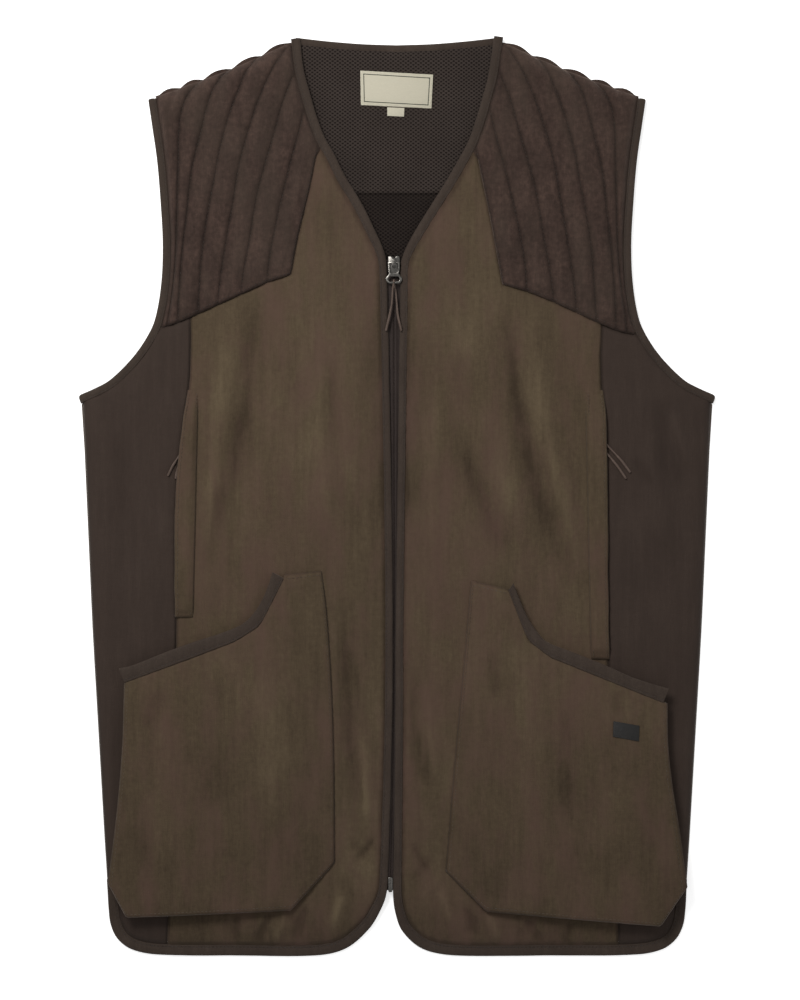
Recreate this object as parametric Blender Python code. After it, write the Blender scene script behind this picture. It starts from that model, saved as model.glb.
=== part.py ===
"""A gilet for shooting, laid flat on its back with its front up.

X runs across the garment, +Y points to the neck and +Z up, off the surface it lies on.
The origin is on that surface, at the middle of the outline. Sizes are in millimetres, and
become metres where a mesh or curve is made. Most tables are for one side: "out" is the
distance from the middle line towards that side, "up" is Y.
"""
import math

import bmesh
import bpy
from mathutils import Vector

MM = 0.001

# Cloth layers, from the floor up
CLOTH = 1.6
SEAM_GAP = 0.3
BINDING_GAP = 1.0
LINING = 1.0
LINING_BOTTOM = CLOTH + SEAM_GAP
FRONT_TOP = 8.0
FRONT_EDGE_TOP = CLOTH + SEAM_GAP + CLOTH
BINDING = 2.8
BACK_BINDING_MIDDLE = 0.2 + BINDING / 2
FRONT_BINDING_MIDDLE = 4.7

# Driving sizes of the outline
TOP_UP = 400.5
HEM_UP = -400.5
BACK_HEM_UP = -343.0
VENT_TOP_UP = -340.0
ARMHOLE_BINDING_WIDTH = 7.0
BACK_NECK_BINDING_WIDTH = 7.0
BACK_HEM_BINDING_WIDTH = 9.5

# The rounded fall of the front towards its fold at the sides and shoulders
FOLD_REACH = 14.0
ARMHOLE_FALL = 20.0
SEAM_SHIFT = Vector((0.3, 0.75))
FRONT_ROWS = 22
FRONT_COLUMNS = 12
SIDE_COLUMNS = 8
# The share of a panel's top or bottom edge where it turns a corner
FRONT_TOP_BEND = 7 / 12
SIDE_CORNER = 1 / 8
SIDE_TOP_BEND = 6 / 8
# Where the folds begin to fade, from each edge of the front
FADE_TO_SIDE = 25.0
FADE_TO_SHOULDER = 30.0
FADE_TO_ARMHOLE = 14.0
FADE_TO_EDGE = 12.0
POCKET_FADE = 10.0
WELT_FADE = 12.0
WELT_SPAN = 34.0
# The foot of the zip and the vent's corner, where the front's grid turns
ZIP_FOOT = {"left": (15.6, -346.0), "right": (4.6, -346.0)}
VENT_CORNER = (243.5, VENT_TOP_UP - 4.0)

# Rows of (out, up), from the underarm up to the shoulder tip
ARMHOLE = [
    (275.0, 88.5), (262.5, 94.0), (250.0, 101.0), (232.0, 118.5), (219.5, 135.5), (211.0, 153.0),
    (205.5, 183.5), (204.0, 218.5), (206.0, 257.5), (209.0, 292.5), (213.5, 324.0), (216.3, 343.0),
]
# Rows of (out, up), from the underarm down to the top of the vent
SIDE_EDGE = [
    (275.0, 88.5), (272.5, 40.0), (269.0, -38.5), (265.5, -116.5), (261.0, -195.0), (258.0, -247.0),
    (255.0, -299.5), (252.4, VENT_TOP_UP),
]
# Rows of (out, up) where the patch's channels meet the shoulder line, from the neck to the tip
SHOULDER = [
    (93.0, 395.0), (117.4, 383.7), (143.6, 372.4), (168.8, 362.8), (190.5, 355.0), (208.6, 348.0),
]
# Rows of (out, up), half of the back's neck edge, from the middle
BACK_NECK = [(0.0, 393.0), (30.0, 394.0), (60.0, 396.4), (83.0, 399.0)]

# The bound edge of each front, from the neck point round to the side vent.
# Rows of (out, up, width of the binding, height of its middle)
FRONT_EDGE = {
    "left": [
        (84.5, TOP_UP, 8.0, 4.5), (81.0, 371.0, 8.0, 6.0), (76.0, 352.0, 8.0, 6.7),
        (70.5, 333.0, 8.0, 6.9), (63.0, 312.5, 8.0, 6.9), (53.5, 295.5, 8.0, 6.9),
        (45.0, 278.0, 8.0, 6.9), (34.5, 261.0, 8.0, 6.9), (26.0, 245.5, 8.0, 6.9),
        (18.5, 230.0, 7.8, 6.9), (12.5, 216.5, 7.4, 6.9), (9.3, 205.0, 7.0, 6.9),
        (8.3, 179.0, 6.6, 6.9), (5.4, 40.0, 6.6, 6.9), (3.6, -101.0, 6.6, 6.9),
        (4.6, -220.0, 6.8, 6.9), (7.6, -325.0, 7.2, 6.9), (9.0, -346.0, 7.6, 6.7),
        (14.0, -360.0, 8.4, 5.2), (24.5, -377.5, 9.2, 3.2), (44.5, -394.5, 9.5, 2.1),
        (70.5, HEM_UP, 9.5, 1.9), (140.0, HEM_UP, 9.5, 1.9), (209.5, HEM_UP + 0.8, 9.5, 1.9),
        (231.5, -395.0, 9.5, 1.9), (243.5, -386.0, 9.5, 1.9), (249.5, -374.0, 9.5, 2.0),
        (251.4, -360.0, 9.2, 2.4), (252.2, VENT_TOP_UP - 4.0, 8.6, 2.9),
    ],
    "right": [
        (84.5, TOP_UP, 8.0, 4.5), (79.0, 364.0, 8.0, 6.2), (75.0, 349.0, 8.0, 6.7),
        (70.0, 331.5, 8.0, 6.9), (63.0, 311.0, 8.0, 6.9), (53.5, 292.5, 8.0, 6.9),
        (41.5, 272.0, 8.0, 6.9), (30.5, 254.5, 8.0, 6.9), (20.0, 238.0, 8.0, 6.9),
        (11.8, 224.0, 7.8, 6.9), (6.0, 212.0, 7.2, 6.9), (3.4, 203.0, 6.8, 6.9),
        (2.9, 179.0, 6.6, 6.9), (0.9, 40.0, 6.6, 6.9), (-0.9, -101.0, 6.6, 6.9),
        (-1.6, -220.0, 6.8, 6.9), (-3.0, -325.0, 7.2, 6.9), (-3.4, -346.0, 7.6, 6.7),
        (-1.6, -362.0, 8.4, 5.0), (4.5, -379.0, 9.2, 3.2), (22.5, -394.8, 9.5, 2.1),
        (50.0, HEM_UP, 9.5, 1.9), (130.0, HEM_UP, 9.5, 1.9), (209.5, HEM_UP + 0.8, 9.5, 1.9),
        (231.5, -395.0, 9.5, 1.9), (243.5, -386.0, 9.5, 1.9), (249.5, -374.0, 9.5, 2.0),
        (251.4, -360.0, 9.2, 2.4), (252.2, VENT_TOP_UP - 4.0, 8.6, 2.9),
    ],
}
# Rows of (out, up), the lower edge of the shoulder patch, from the armhole inwards
PATCH_HEM = {
    "left": [
        (207.0, 146.0), (194.5, 149.0), (175.5, 157.0), (155.0, 166.5), (136.0, 175.0),
        (112.0, 186.0), (92.0, 192.5),
    ],
    "right": [
        (210.0, 140.0), (197.0, 142.0), (179.5, 148.0), (166.0, 155.0), (143.5, 165.0),
        (123.0, 174.5), (91.5, 184.0),
    ],
}
# Rows of (out, up), the inner edge of the patch, from the neck binding down
PATCH_INNER = {
    "left": [(68.7, 303.0), (77.5, 259.5), (86.0, 225.0), (92.0, 192.5)],
    "right": [(69.0, 300.0), (73.5, 276.5), (80.0, 246.0), (91.5, 184.0)],
}
# The sewn channels of the patch, each with rows of (out, up), from the shoulder or neck down
CHANNELS = [
    [(168.8, 362.8), (180.1, 351.5), (186.5, 337.0), (189.5, 318.0), (190.0, 290.0), (190.8, 260.0),
     (191.5, 230.0), (193.0, 200.0), (196.0, 172.0), (200.0, 148.0)],
    [(143.6, 372.4), (152.3, 365.4), (159.2, 355.0), (164.4, 341.0), (168.8, 323.6), (173.1, 305.4),
     (177.5, 288.0), (180.1, 270.6), (182.7, 244.5), (185.4, 222.7), (187.2, 205.3), (190.5, 158.0)],
    [(117.4, 383.7), (125.3, 377.6), (131.4, 368.9), (136.6, 355.8), (144.4, 335.8), (150.5, 314.9),
     (154.9, 296.7), (159.2, 273.2), (163.6, 250.6), (167.0, 229.7), (170.0, 205.3), (173.0, 160.0)],
    [(93.0, 395.0), (106.1, 375.0), (115.5, 356.0), (122.7, 337.6), (128.8, 318.4), (134.0, 301.0),
     (138.3, 281.9), (141.8, 259.3), (146.2, 234.9), (149.6, 214.0), (154.0, 183.6), (156.0, 168.0)],
    [(86.8, 374.0), (92.5, 360.0), (99.5, 341.5), (107.0, 314.0), (113.1, 294.1), (118.3, 274.9),
     (121.8, 261.0), (125.3, 240.1), (128.8, 218.4), (132.2, 201.0), (136.0, 176.0)],
    [(79.2, 341.9), (87.0, 309.7), (93.1, 288.0), (98.3, 266.2), (103.5, 244.5), (107.0, 227.0),
     (109.6, 214.0), (113.0, 186.0)],
]
CHANNEL_CREST = 3.3
PATCH_FOOT_INSET = 2.6
CHANNEL_SCALLOP = 3.0

# Rows of (out, up), the seam between the front and the side front, from the patch to the hem
SIDE_SEAM = {
    "left": [
        (179.0, 155.5), (180.0, 104.5), (182.0, 85.5), (184.5, 65.0), (189.0, 29.0), (191.0, 1.0),
        (192.0, -37.0), (192.0, -129.5), (196.0, -264.5), (200.0, -389.6),
    ],
    "right": [
        (178.0, 149.0), (177.0, 122.0), (178.0, 94.0), (180.0, 76.5), (181.0, 42.5), (182.0, 1.5),
        (182.5, -92.0), (183.5, -142.5), (187.0, -264.5), (193.0, -389.6),
    ],
}

# The welt over each side zip: (top up, bottom up, out of its stitched edge at top and bottom)
WELT = {"left": (88.0, -105.5, 176.5, 176.0), "right": (90.5, -142.0, 163.5, 168.5)}
WELT_LIFT = 2.0
SIDE_SLIDER_UP = {"left": 50.0, "right": 54.0}
SIDE_SLIDER_LENGTH = 9.0
SIDE_SLIDER_HEIGHT = 1.4
SIDE_SLIDER_WIDTH = 4.8

# Soft folds of the fronts: rows of (name, depth, half width, [(out, up), ...])
FOLDS = {
    "left": [
        ("breast hollow", -2.6, 11.0, [(117, 180), (128, 118), (133, 66), (140, 14), (150, -70)]),
        ("breast ridge", 2.6, 13.0, [(140, 165), (149, 110), (155, 60), (160, 10), (166, -60)]),
        ("inner ridge", 1.6, 16.0, [(80, 190), (98, 120), (105, 50), (108, -20)]),
        ("zip hollow", -1.6, 9.0, [(33, 90), (27, 20), (25, -50), (30, -90)]),
        ("pocket hollow", -2.4, 8.0, [(41, -80), (43, -164), (37, -217), (28, -290)]),
        ("side hollow", -1.6, 12.0, [(232, 70), (226, 0), (222, -80)]),
    ],
    "right": [
        ("breast hollow", -2.6, 11.0, [(96, 185), (98.5, 135), (107, 83), (124, -3), (146, -82)]),
        ("breast ridge", 2.6, 13.0, [(118, 165), (121, 120), (130, 60), (146, 0), (160, -60)]),
        ("long hollow", -2.0, 10.0, [(46, 66), (63.5, 22.6), (85, -29.6), (95, -66)]),
        ("long ridge", 2.0, 12.0, [(60, 90), (80, 30), (102, -20), (115, -70)]),
        ("pocket hollow", -2.2, 7.0, [(20, -150), (19, -195), (22, -238), (30, -290)]),
        ("side fold high", -2.2, 10.0, [(226, 90), (231, 60), (242, 25), (252, -10)]),
        ("side ridge", 2.0, 9.0, [(219, 70), (223, 25), (232, -20), (240, -60)]),
    ],
}

# The cargo pockets. Rows of (across, out, up): across runs from 0 at the side to 1 at the middle
POCKET_MOUTH = {
    "left": [
        (0.0, 236.0, -160.5), (0.3, 183.0, -141.0), (0.5, 141.0, -125.0), (0.6, 119.2, -111.4),
        (0.7, 97.4, -67.9), (1.0, 65.5, -65.0),
    ],
    "right": [
        (0.0, 234.0, -179.2), (0.3, 175.7, -155.7), (0.5, 133.0, -138.5), (0.6, 114.0, -124.0),
        (0.7, 97.4, -80.9), (1.0, 64.5, -73.5),
    ],
}
POCKET_BOTTOM = {
    "left": [(0.0, 250.0, -334.5), (0.1, 234.0, -364.5), (0.8, 92.0, -359.5), (1.0, 54.0, -318.5)],
    "right": [(0.0, 251.0, -338.0), (0.1, 228.0, -372.0), (0.8, 77.5, -360.5), (1.0, 42.0, -326.0)],
}
# Rows of (out, up), from the mouth down
POCKET_OUTER = {
    "left": [(236.0, -160.5), (237.5, -215.0), (241.0, -260.5), (245.5, -301.5), (250.0, -334.5)],
    "right": [(234.0, -179.2), (234.5, -215.0), (238.0, -249.0), (244.5, -290.0), (251.0, -338.0)],
}
POCKET_INNER = {
    "left": [(65.5, -65.0), (61.0, -101.0), (56.5, -169.5), (54.5, -237.5), (54.0, -318.5)],
    "right": [(64.5, -73.5), (62.0, -101.0), (57.0, -158.0), (51.5, -215.0), (42.0, -326.0)],
}
# The binding of the mouth, rows of (out, up) from the side to the top of the pocket
MOUTH_UPPER = {
    "left": [
        (240.5, -149.0), (229.0, -146.5), (198.8, -134.5), (175.7, -126.2), (148.8, -117.5),
        (133.1, -110.4), (123.5, -100.9), (116.6, -89.6), (111.4, -77.4), (107.9, -66.0),
    ],
    "right": [
        (235.0, -166.5), (224.0, -163.5), (202.7, -156.6), (180.1, -146.3), (150.5, -134.5),
        (129.6, -126.2), (120.0, -116.0), (111.8, -102.7), (105.3, -87.3), (100.9, -75.5),
    ],
}
POCKET_SEAM_LIFT = CLOTH + 0.6
POCKET_DEPTH = 11.5
POCKET_BULGE = 1.5
GUSSET_WALL = 1.4
GUSSET_FOLD = 4.0
GUSSET_INSET = 3.0
POCKET_TAB = [(187.0, -194.5), (209.5, -198.5), (209.0, -212.0), (186.5, -208.0)]

# The main zip. Rows of (x, y) down its middle line
ZIP_LINE = [(-2.7, 212.0), (-2.75, 150.0), (-2.5, 0.0), (-2.3, -101.0), (-3.2, -220.0), (-5.9, -343.0)]
ZIP_TAPE_WIDTH = 12.0
ZIP_TAPE_BOTTOM = 4.4
ZIP_TAPE = 0.8
SLIDER_X = -2.7
SLIDER_BOTTOM = ZIP_TAPE_BOTTOM + ZIP_TAPE + SEAM_GAP
SLIDER_HEIGHT = 3.2
PIVOT_Y = 202.8
PIVOT_Z = SLIDER_BOTTOM + SLIDER_HEIGHT + 1.1
BAIL_HEIGHT = 3.6
BAIL_ROOM = 2.2
TAB_THICKNESS = 1.2
TAB_RING_BAR_Y = 185.3
LACE = 1.8
LACE_LOOP_RADIUS = 2.25

# Rows of (x, y, z) along each lace end
MAIN_LACES = {
    "pull_lace_left": [
        (-2.9, 184.6, PIVOT_Z + LACE_LOOP_RADIUS), (-3.4, 178.0, 11.5), (-4.4, 169.0, 10.7),
        (-6.3, 157.5, 10.1), (-8.2, 149.5, 9.8), (-9.6, 143.5, 9.7),
    ],
    "pull_lace_right": [
        (-2.5, 184.6, PIVOT_Z - LACE_LOOP_RADIUS), (-2.0, 178.0, 7.5), (-1.0, 169.0, 8.2),
        (0.6, 157.5, 9.2), (2.4, 149.5, 9.7), (3.7, 143.5, 9.8),
    ],
}
# Rows of (out, up, z) along each lace end of the side zips
SIDE_LACES = {
    "left": [
        [(184.4, 45.0, 9.3), (186.6, 39.5, 9.3), (190.4, 33.0, 9.3), (195.0, 26.0, 9.3), (199.0, 17.5, 9.3)],
        [(181.6, 45.0, 9.3), (183.6, 38.0, 9.3), (187.4, 30.5, 9.3), (190.6, 23.0, 9.3), (192.4, 15.0, 9.3)],
    ],
    "right": [
        [(178.0, 49.0, 9.3), (182.6, 44.0, 9.3), (188.6, 37.6, 9.3), (195.5, 30.0, 9.3), (202.7, 20.5, 9.3)],
        [(175.0, 49.0, 9.3), (178.6, 41.6, 9.3), (185.0, 33.8, 9.3), (192.0, 25.2, 9.3), (199.0, 15.0, 9.3)],
    ],
}

# Rows of (x, y), the corners of the neck label and of the size tab under it
NECK_LABEL = [(-32.0, 370.5), (31.5, 367.0), (30.0, 337.5), (-31.5, 340.5)]
SIZE_TAB = [(-8.5, 338.6), (6.5, 338.0), (6.2, 330.5), (-8.5, 331.0)]
LINING_SEAM_UP = 263.5

# Finishes: colour (linear), roughness, metallic
FINISHES = {
    "olive": ((0.078, 0.055, 0.036), 0.85, 0.0),
    "brown": ((0.043, 0.029, 0.023), 0.85, 0.0),
    "patch": ((0.047, 0.030, 0.024), 0.9, 0.0),
    "binding": ((0.041, 0.030, 0.024), 0.8, 0.0),
    "lining": ((0.036, 0.027, 0.023), 0.7, 0.0),
    "dark lining": ((0.019, 0.014, 0.012), 0.7, 0.0),
    "zip": ((0.014, 0.010, 0.009), 0.7, 0.0),
    "metal": ((0.32, 0.31, 0.30), 0.35, 1.0),
    "lace": ((0.06, 0.035, 0.026), 0.6, 0.0),
    "label": ((0.60, 0.57, 0.46), 0.8, 0.0),
    "tab": ((0.020, 0.017, 0.015), 0.6, 0.0),
}
SIGN = {"left": -1.0, "right": 1.0}


def smooth(rows, step=9.0):
    """A smooth curve through the rows, sampled about every step; extra columns ride along."""
    points = [Vector(row) for row in rows]
    lengths = [(Vector(b[:2]) - Vector(a[:2])).length for a, b in zip(rows, rows[1:])]
    slopes = []
    for i in range(len(points)):
        before = max(i - 1, 0)
        after = min(i + 1, len(points) - 1)
        slopes.append((points[after] - points[before]) / sum(lengths[before:after]))
    curve = [points[0]]
    for i, length in enumerate(lengths):
        count = max(1, round(length / step))
        for k in range(1, count + 1):
            t = k / count
            square = t * t
            cube = square * t
            curve.append(
                (2 * cube - 3 * square + 1) * points[i]
                + (cube - 2 * square + t) * length * slopes[i]
                + (3 * square - 2 * cube) * points[i + 1]
                + (cube - square) * length * slopes[i + 1]
            )
    return curve


def travelled(curve):
    """The length along the curve at each of its points."""
    total = [0.0]
    for a, b in zip(curve, curve[1:]):
        total.append(total[-1] + (b - a).length)
    return total


def along(curve):
    """A function from a share of the curve's length, 0 to 1, to its point."""
    total = travelled(curve)

    def point(share):
        wanted = min(max(share, 0.0), 1.0) * total[-1]
        for i in range(1, len(curve)):
            if wanted <= total[i] or i == len(curve) - 1:
                t = (wanted - total[i - 1]) / (total[i] - total[i - 1])
                return curve[i - 1].lerp(curve[i], min(max(t, 0.0), 1.0))

    return point


def across(rows):
    """A function from the rows' first column to the rest, straight between rows."""
    def point(share):
        for a, b in zip(rows, rows[1:]):
            if share <= b[0] or b is rows[-1]:
                t = (share - a[0]) / (b[0] - a[0])
                return Vector(a[1:]).lerp(Vector(b[1:]), t)

    return point


def inward(curve, distance):
    """The curve moved to its left by the distance, or by width plus distance at each point."""
    moved = []
    for i, point in enumerate(curve):
        a = curve[max(i - 1, 0)]
        b = curve[min(i + 1, len(curve) - 1)]
        direction = Vector((b[0] - a[0], b[1] - a[1])).normalized()
        width = distance + (point[2] if len(point) > 2 else 0.0)
        new = point.copy()
        new[0] -= direction.y * width
        new[1] += direction.x * width
        moved.append(new)
    return moved


def nearest(curve, out, up):
    """Distance from a place to the curve, and the curve's point there."""
    best = (1e9, curve[0])
    for a, b in zip(curve, curve[1:]):
        run = b[0] - a[0]
        climb = b[1] - a[1]
        t = ((out - a[0]) * run + (up - a[1]) * climb) / (run * run + climb * climb + 1e-12)
        t = min(max(t, 0.0), 1.0)
        distance = math.hypot(a[0] + run * t - out, a[1] + climb * t - up)
        if distance < best[0]:
            best = (distance, a.lerp(b, t))
    return best


def patch_between(top, bottom, outer, inner):
    """A place function over four edges: u from outer to inner, v from top to bottom."""
    def place(u, v):
        ruled_down = top(u).lerp(bottom(u), v)
        ruled_across = outer(v).lerp(inner(v), u)
        corners = top(0).lerp(top(1), u).lerp(bottom(0).lerp(bottom(1), u), v)
        return ruled_down + ruled_across - corners

    return place


def rise(distance, low, high, reach):
    """The height of a rounded edge that climbs from low to high over the reach."""
    t = min(max(distance / reach, 0.0), 1.0)
    return low + (high - low) * math.sqrt(1 - (1 - t) ** 2)


def ease(t):
    t = min(max(t, 0.0), 1.0)
    return t * t * (3 - 2 * t)


ARMHOLE_CURVE = smooth(ARMHOLE)
ARMHOLE_INNER = inward(ARMHOLE_CURVE, ARMHOLE_BINDING_WIDTH + BINDING_GAP + 0.4)
SIDE_CURVE = smooth(SIDE_EDGE, 30.0)
SHOULDER_CURVE = smooth(SHOULDER)
EDGE_CURVE = {side: smooth(rows) for side, rows in FRONT_EDGE.items()}
EDGE_INNER = {side: inward(curve, BINDING_GAP) for side, curve in EDGE_CURVE.items()}
SEAM_CURVE = {side: smooth(rows, 20.0) for side, rows in SIDE_SEAM.items()}
UNDERARM = Vector((275.0, 80.0))
TIP = Vector((SHOULDER[-1][0], SHOULDER[-1][1]))


def side_out(up):
    """How far out the side fold lies at a height."""
    for a, b in zip(SIDE_CURVE, SIDE_CURVE[1:]):
        if up >= b.y:
            t = min(max((a.y - up) / (a.y - b.y), 0.0), 1.0)
            return a.x + (b.x - a.x) * t
    return SIDE_CURVE[-1].x


def pocket_place(side):
    """The place function of a pocket's face."""
    return patch_between(
        across(POCKET_MOUTH[side]),
        across(POCKET_BOTTOM[side]),
        along(smooth(POCKET_OUTER[side])),
        along(smooth(POCKET_INNER[side])),
    )


def outline_of_pocket(side):
    """The pocket's outline as one closed ring of (out, up)."""
    place = pocket_place(side)
    steps = [k / 20 for k in range(21)]
    ring = [place(u, 0) for u in steps] + [place(1, v) for v in steps]
    ring += [place(u, 1) for u in reversed(steps)] + [place(0, v) for v in reversed(steps)]
    return ring


POCKET_RING = {side: outline_of_pocket(side) for side in SIGN}


def inside(ring, out, up):
    """Whether a place lies inside a closed ring."""
    found = False
    for a, b in zip(ring, ring[1:] + ring[:1]):
        if (a.y > up) != (b.y > up) and out < a.x + (b.x - a.x) * (up - a.y) / (b.y - a.y):
            found = not found
    return found


def fold_share(side, out, up):
    """How much of a fold shows here: none under the pocket and the welt."""
    if inside(POCKET_RING[side], out, up):
        return 0.0
    share = ease(nearest(POCKET_RING[side], out, up)[0] / POCKET_FADE)
    top, bottom, stitched, _ = WELT[side]
    beside = max(stitched - 2.0 - out, out - stitched - WELT_SPAN, up - top - 2.0, bottom - 2.0 - up)
    return share * ease(beside / WELT_FADE)


def folds_at(side, out, up):
    """The height that the soft folds add to a front."""
    height = 0.0
    for _, depth, half_width, rows in FOLDS[side]:
        curve = [Vector(row) for row in rows]
        distance, point = nearest(curve, out, up)
        if distance < 3 * half_width:
            share = (curve[0].y - point.y) / (curve[0].y - curve[-1].y)
            fade = ease(min(share, 1 - share) / 0.3)
            height += depth * fade * math.exp(-((distance / half_width) ** 2))
    return height


def front_height(side, out, up, depth=0.0):
    """The height of the fronts' outer face, or of the face that lies depth below it."""
    top = FRONT_TOP - depth
    edge_low = FRONT_EDGE_TOP - depth
    to_side = side_out(up) - out
    to_shoulder = nearest(SHOULDER_CURVE, out, up)[0]
    to_armhole = nearest(ARMHOLE_INNER, out, up)[0]
    to_edge, edge_point = nearest(EDGE_INNER[side], out, up)
    low = edge_point[3] + 0.9
    height = min(
        rise(to_side - depth, edge_low, top, FOLD_REACH - depth),
        rise(to_shoulder - depth, edge_low, top, FOLD_REACH - depth),
        rise(to_armhole, FRONT_BINDING_MIDDLE + 0.8 - depth, top, ARMHOLE_FALL),
        rise(to_edge, low - depth, top, 10.0 + 4.0 * (FRONT_TOP - low)),
    )
    clear = min(
        to_side / FADE_TO_SIDE, to_shoulder / FADE_TO_SHOULDER, to_armhole / FADE_TO_ARMHOLE, to_edge / FADE_TO_EDGE,
    )
    if clear <= 0:
        return height
    return height + folds_at(side, out, up) * fold_share(side, out, up) * ease(clear)


def finish(name, mesh_or_curve, finish_name):
    """Puts the data in the scene as a named piece with a material of its own."""
    colour, roughness, metallic = FINISHES[finish_name]
    material = bpy.data.materials.new(name + "_finish")
    material.use_nodes = True
    shader = material.node_tree.nodes["Principled BSDF"]
    shader.inputs["Base Color"].default_value = (*colour, 1.0)
    shader.inputs["Roughness"].default_value = roughness
    shader.inputs["Metallic"].default_value = metallic
    material.diffuse_color = (*colour, 1.0)
    mesh_or_curve.materials.append(material)
    piece = bpy.data.objects.new(name, mesh_or_curve)
    bpy.data.collections["gilet"].objects.link(piece)
    return piece


def piece_from(name, bm, finish_name):
    """Closes a bmesh off as a smooth-shaded piece whose faces point out."""
    bmesh.ops.recalc_face_normals(bm, faces=bm.faces[:])
    mesh = bpy.data.meshes.new(name)
    bm.to_mesh(mesh)
    bm.free()
    mesh.shade_smooth()
    mesh.set_sharp_from_angle(angle=math.radians(50))
    return finish(name, mesh, finish_name)


def wall(name, side, columns, rows, place, top, bottom, finish_name, spread=None):
    """A cloth wall over a place function, with its own outer and inner heights."""
    sign = SIGN[side]
    bm = bmesh.new()
    bmesh.ops.create_grid(bm, x_segments=columns, y_segments=rows, size=0.5)
    shares = {vert: (vert.co.x + 0.5, 0.5 - vert.co.y) for vert in bm.verts}
    made = bmesh.ops.extrude_face_region(bm, geom=bm.faces[:], use_keep_orig=True)
    upper = {item for item in made["geom"] if isinstance(item, bmesh.types.BMVert)}
    for vert in bm.verts:
        if vert in upper:
            shares[vert] = (vert.co.x + 0.5, 0.5 - vert.co.y)
    for vert, (u, v) in shares.items():
        if spread:
            u, v = spread(u, v)
        spot = place(u, v)
        height = top(u, v, spot.x, spot.y) if vert in upper else bottom(u, v, spot.x, spot.y)
        vert.co = Vector((sign * spot.x, spot.y, height)) * MM
    return piece_from(name, bm, finish_name)


def loft(name, sections, finish_name, closed=False):
    """A solid through unlike sections, each a ring with the same number of points in mm."""
    bm = bmesh.new()
    rings = [[bm.verts.new(Vector(point) * MM) for point in section] for section in sections]
    pairs = list(zip(rings, rings[1:]))
    if closed:
        pairs.append((rings[-1], rings[0]))
    for a, b in pairs:
        for i in range(len(a)):
            j = (i + 1) % len(a)
            bm.faces.new((a[i], a[j], b[j], b[i]))
    if not closed:
        bm.faces.new(rings[0])
        bm.faces.new(rings[-1])
    return piece_from(name, bm, finish_name)


# Rows of (share of the width from the outer edge, share of the thickness) round a bound edge
BINDING_SECTION = [(0.0, 0.0), (0.2, -0.5), (1.0, -0.5), (1.0, 0.3), (0.8, 0.5), (0.2, 0.5)]


def binding(name, sign, outer, inner, middles, finish_name="binding", thickness=BINDING):
    """A folded strip of binding between its outer and inner lines, at the given heights."""
    sections = []
    for a, b, middle in zip(outer, inner, middles):
        sections.append([
            (sign * (a.x + (b.x - a.x) * w), a.y + (b.y - a.y) * w, middle + thickness * t)
            for w, t in BINDING_SECTION
        ])
    return loft(name, sections, finish_name)


def flat_piece(name, outline, bottom, thickness, finish_name, holes=()):
    """A flat piece cut to an outline in mm, lying at a height."""
    curve = bpy.data.curves.new(name, "CURVE")
    curve.dimensions = "2D"
    curve.fill_mode = "BOTH"
    curve.extrude = thickness / 2 * MM
    for ring in (outline, *holes):
        spline = curve.splines.new("POLY")
        spline.points.add(len(ring) - 1)
        for point, (x, y) in zip(spline.points, ring):
            point.co = (x * MM, y * MM, 0.0, 1.0)
        spline.use_cyclic_u = True
    piece = finish(name, curve, finish_name)
    piece.location.z = (bottom + thickness / 2) * MM
    return piece


def tube(name, points, diameter, finish_name):
    """A round lace along points in mm."""
    curve = bpy.data.curves.new(name, "CURVE")
    curve.dimensions = "3D"
    curve.bevel_depth = diameter / 2 * MM
    curve.bevel_resolution = 2
    curve.use_fill_caps = True
    spline = curve.splines.new("POLY")
    spline.points.add(len(points) - 1)
    for point, (x, y, z) in zip(spline.points, points):
        point.co = (x * MM, y * MM, z * MM, 1.0)
    return finish(name, curve, finish_name)


def mirrored(half):
    """A ring or line from its right half and the same points on the left."""
    return list(half) + [(-x, y) for x, y in reversed(half)]


def back_outline(inset, lower, side_inset, shoulder_inset):
    """The back's outline with each edge moved in, cut off below a height."""
    neck = [(x, y - BACK_NECK_BINDING_WIDTH - SEAM_GAP - inset) for x, y in smooth(BACK_NECK, 12.0)]
    half = [point for point in neck if point[0] > 0]
    half += [(p.x - 0.4 * shoulder_inset, p.y - shoulder_inset) for p in SHOULDER_CURVE[::2]]
    half[-1] = (half[-1][0] - inset - 0.3, half[-1][1])
    armhole = inward(ARMHOLE_CURVE, ARMHOLE_BINDING_WIDTH + SEAM_GAP + inset)
    half += [(p.x, p.y) for p in reversed(armhole) if UNDERARM.y + 10 < p.y < TIP.y - 6 - inset]
    half.append((UNDERARM.x - side_inset, UNDERARM.y - inset - side_inset))
    half += [(p.x - side_inset, p.y) for p in SIDE_CURVE if lower < p.y < UNDERARM.y - 20]
    half.append((side_out(lower) - side_inset, lower))
    return half


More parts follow.
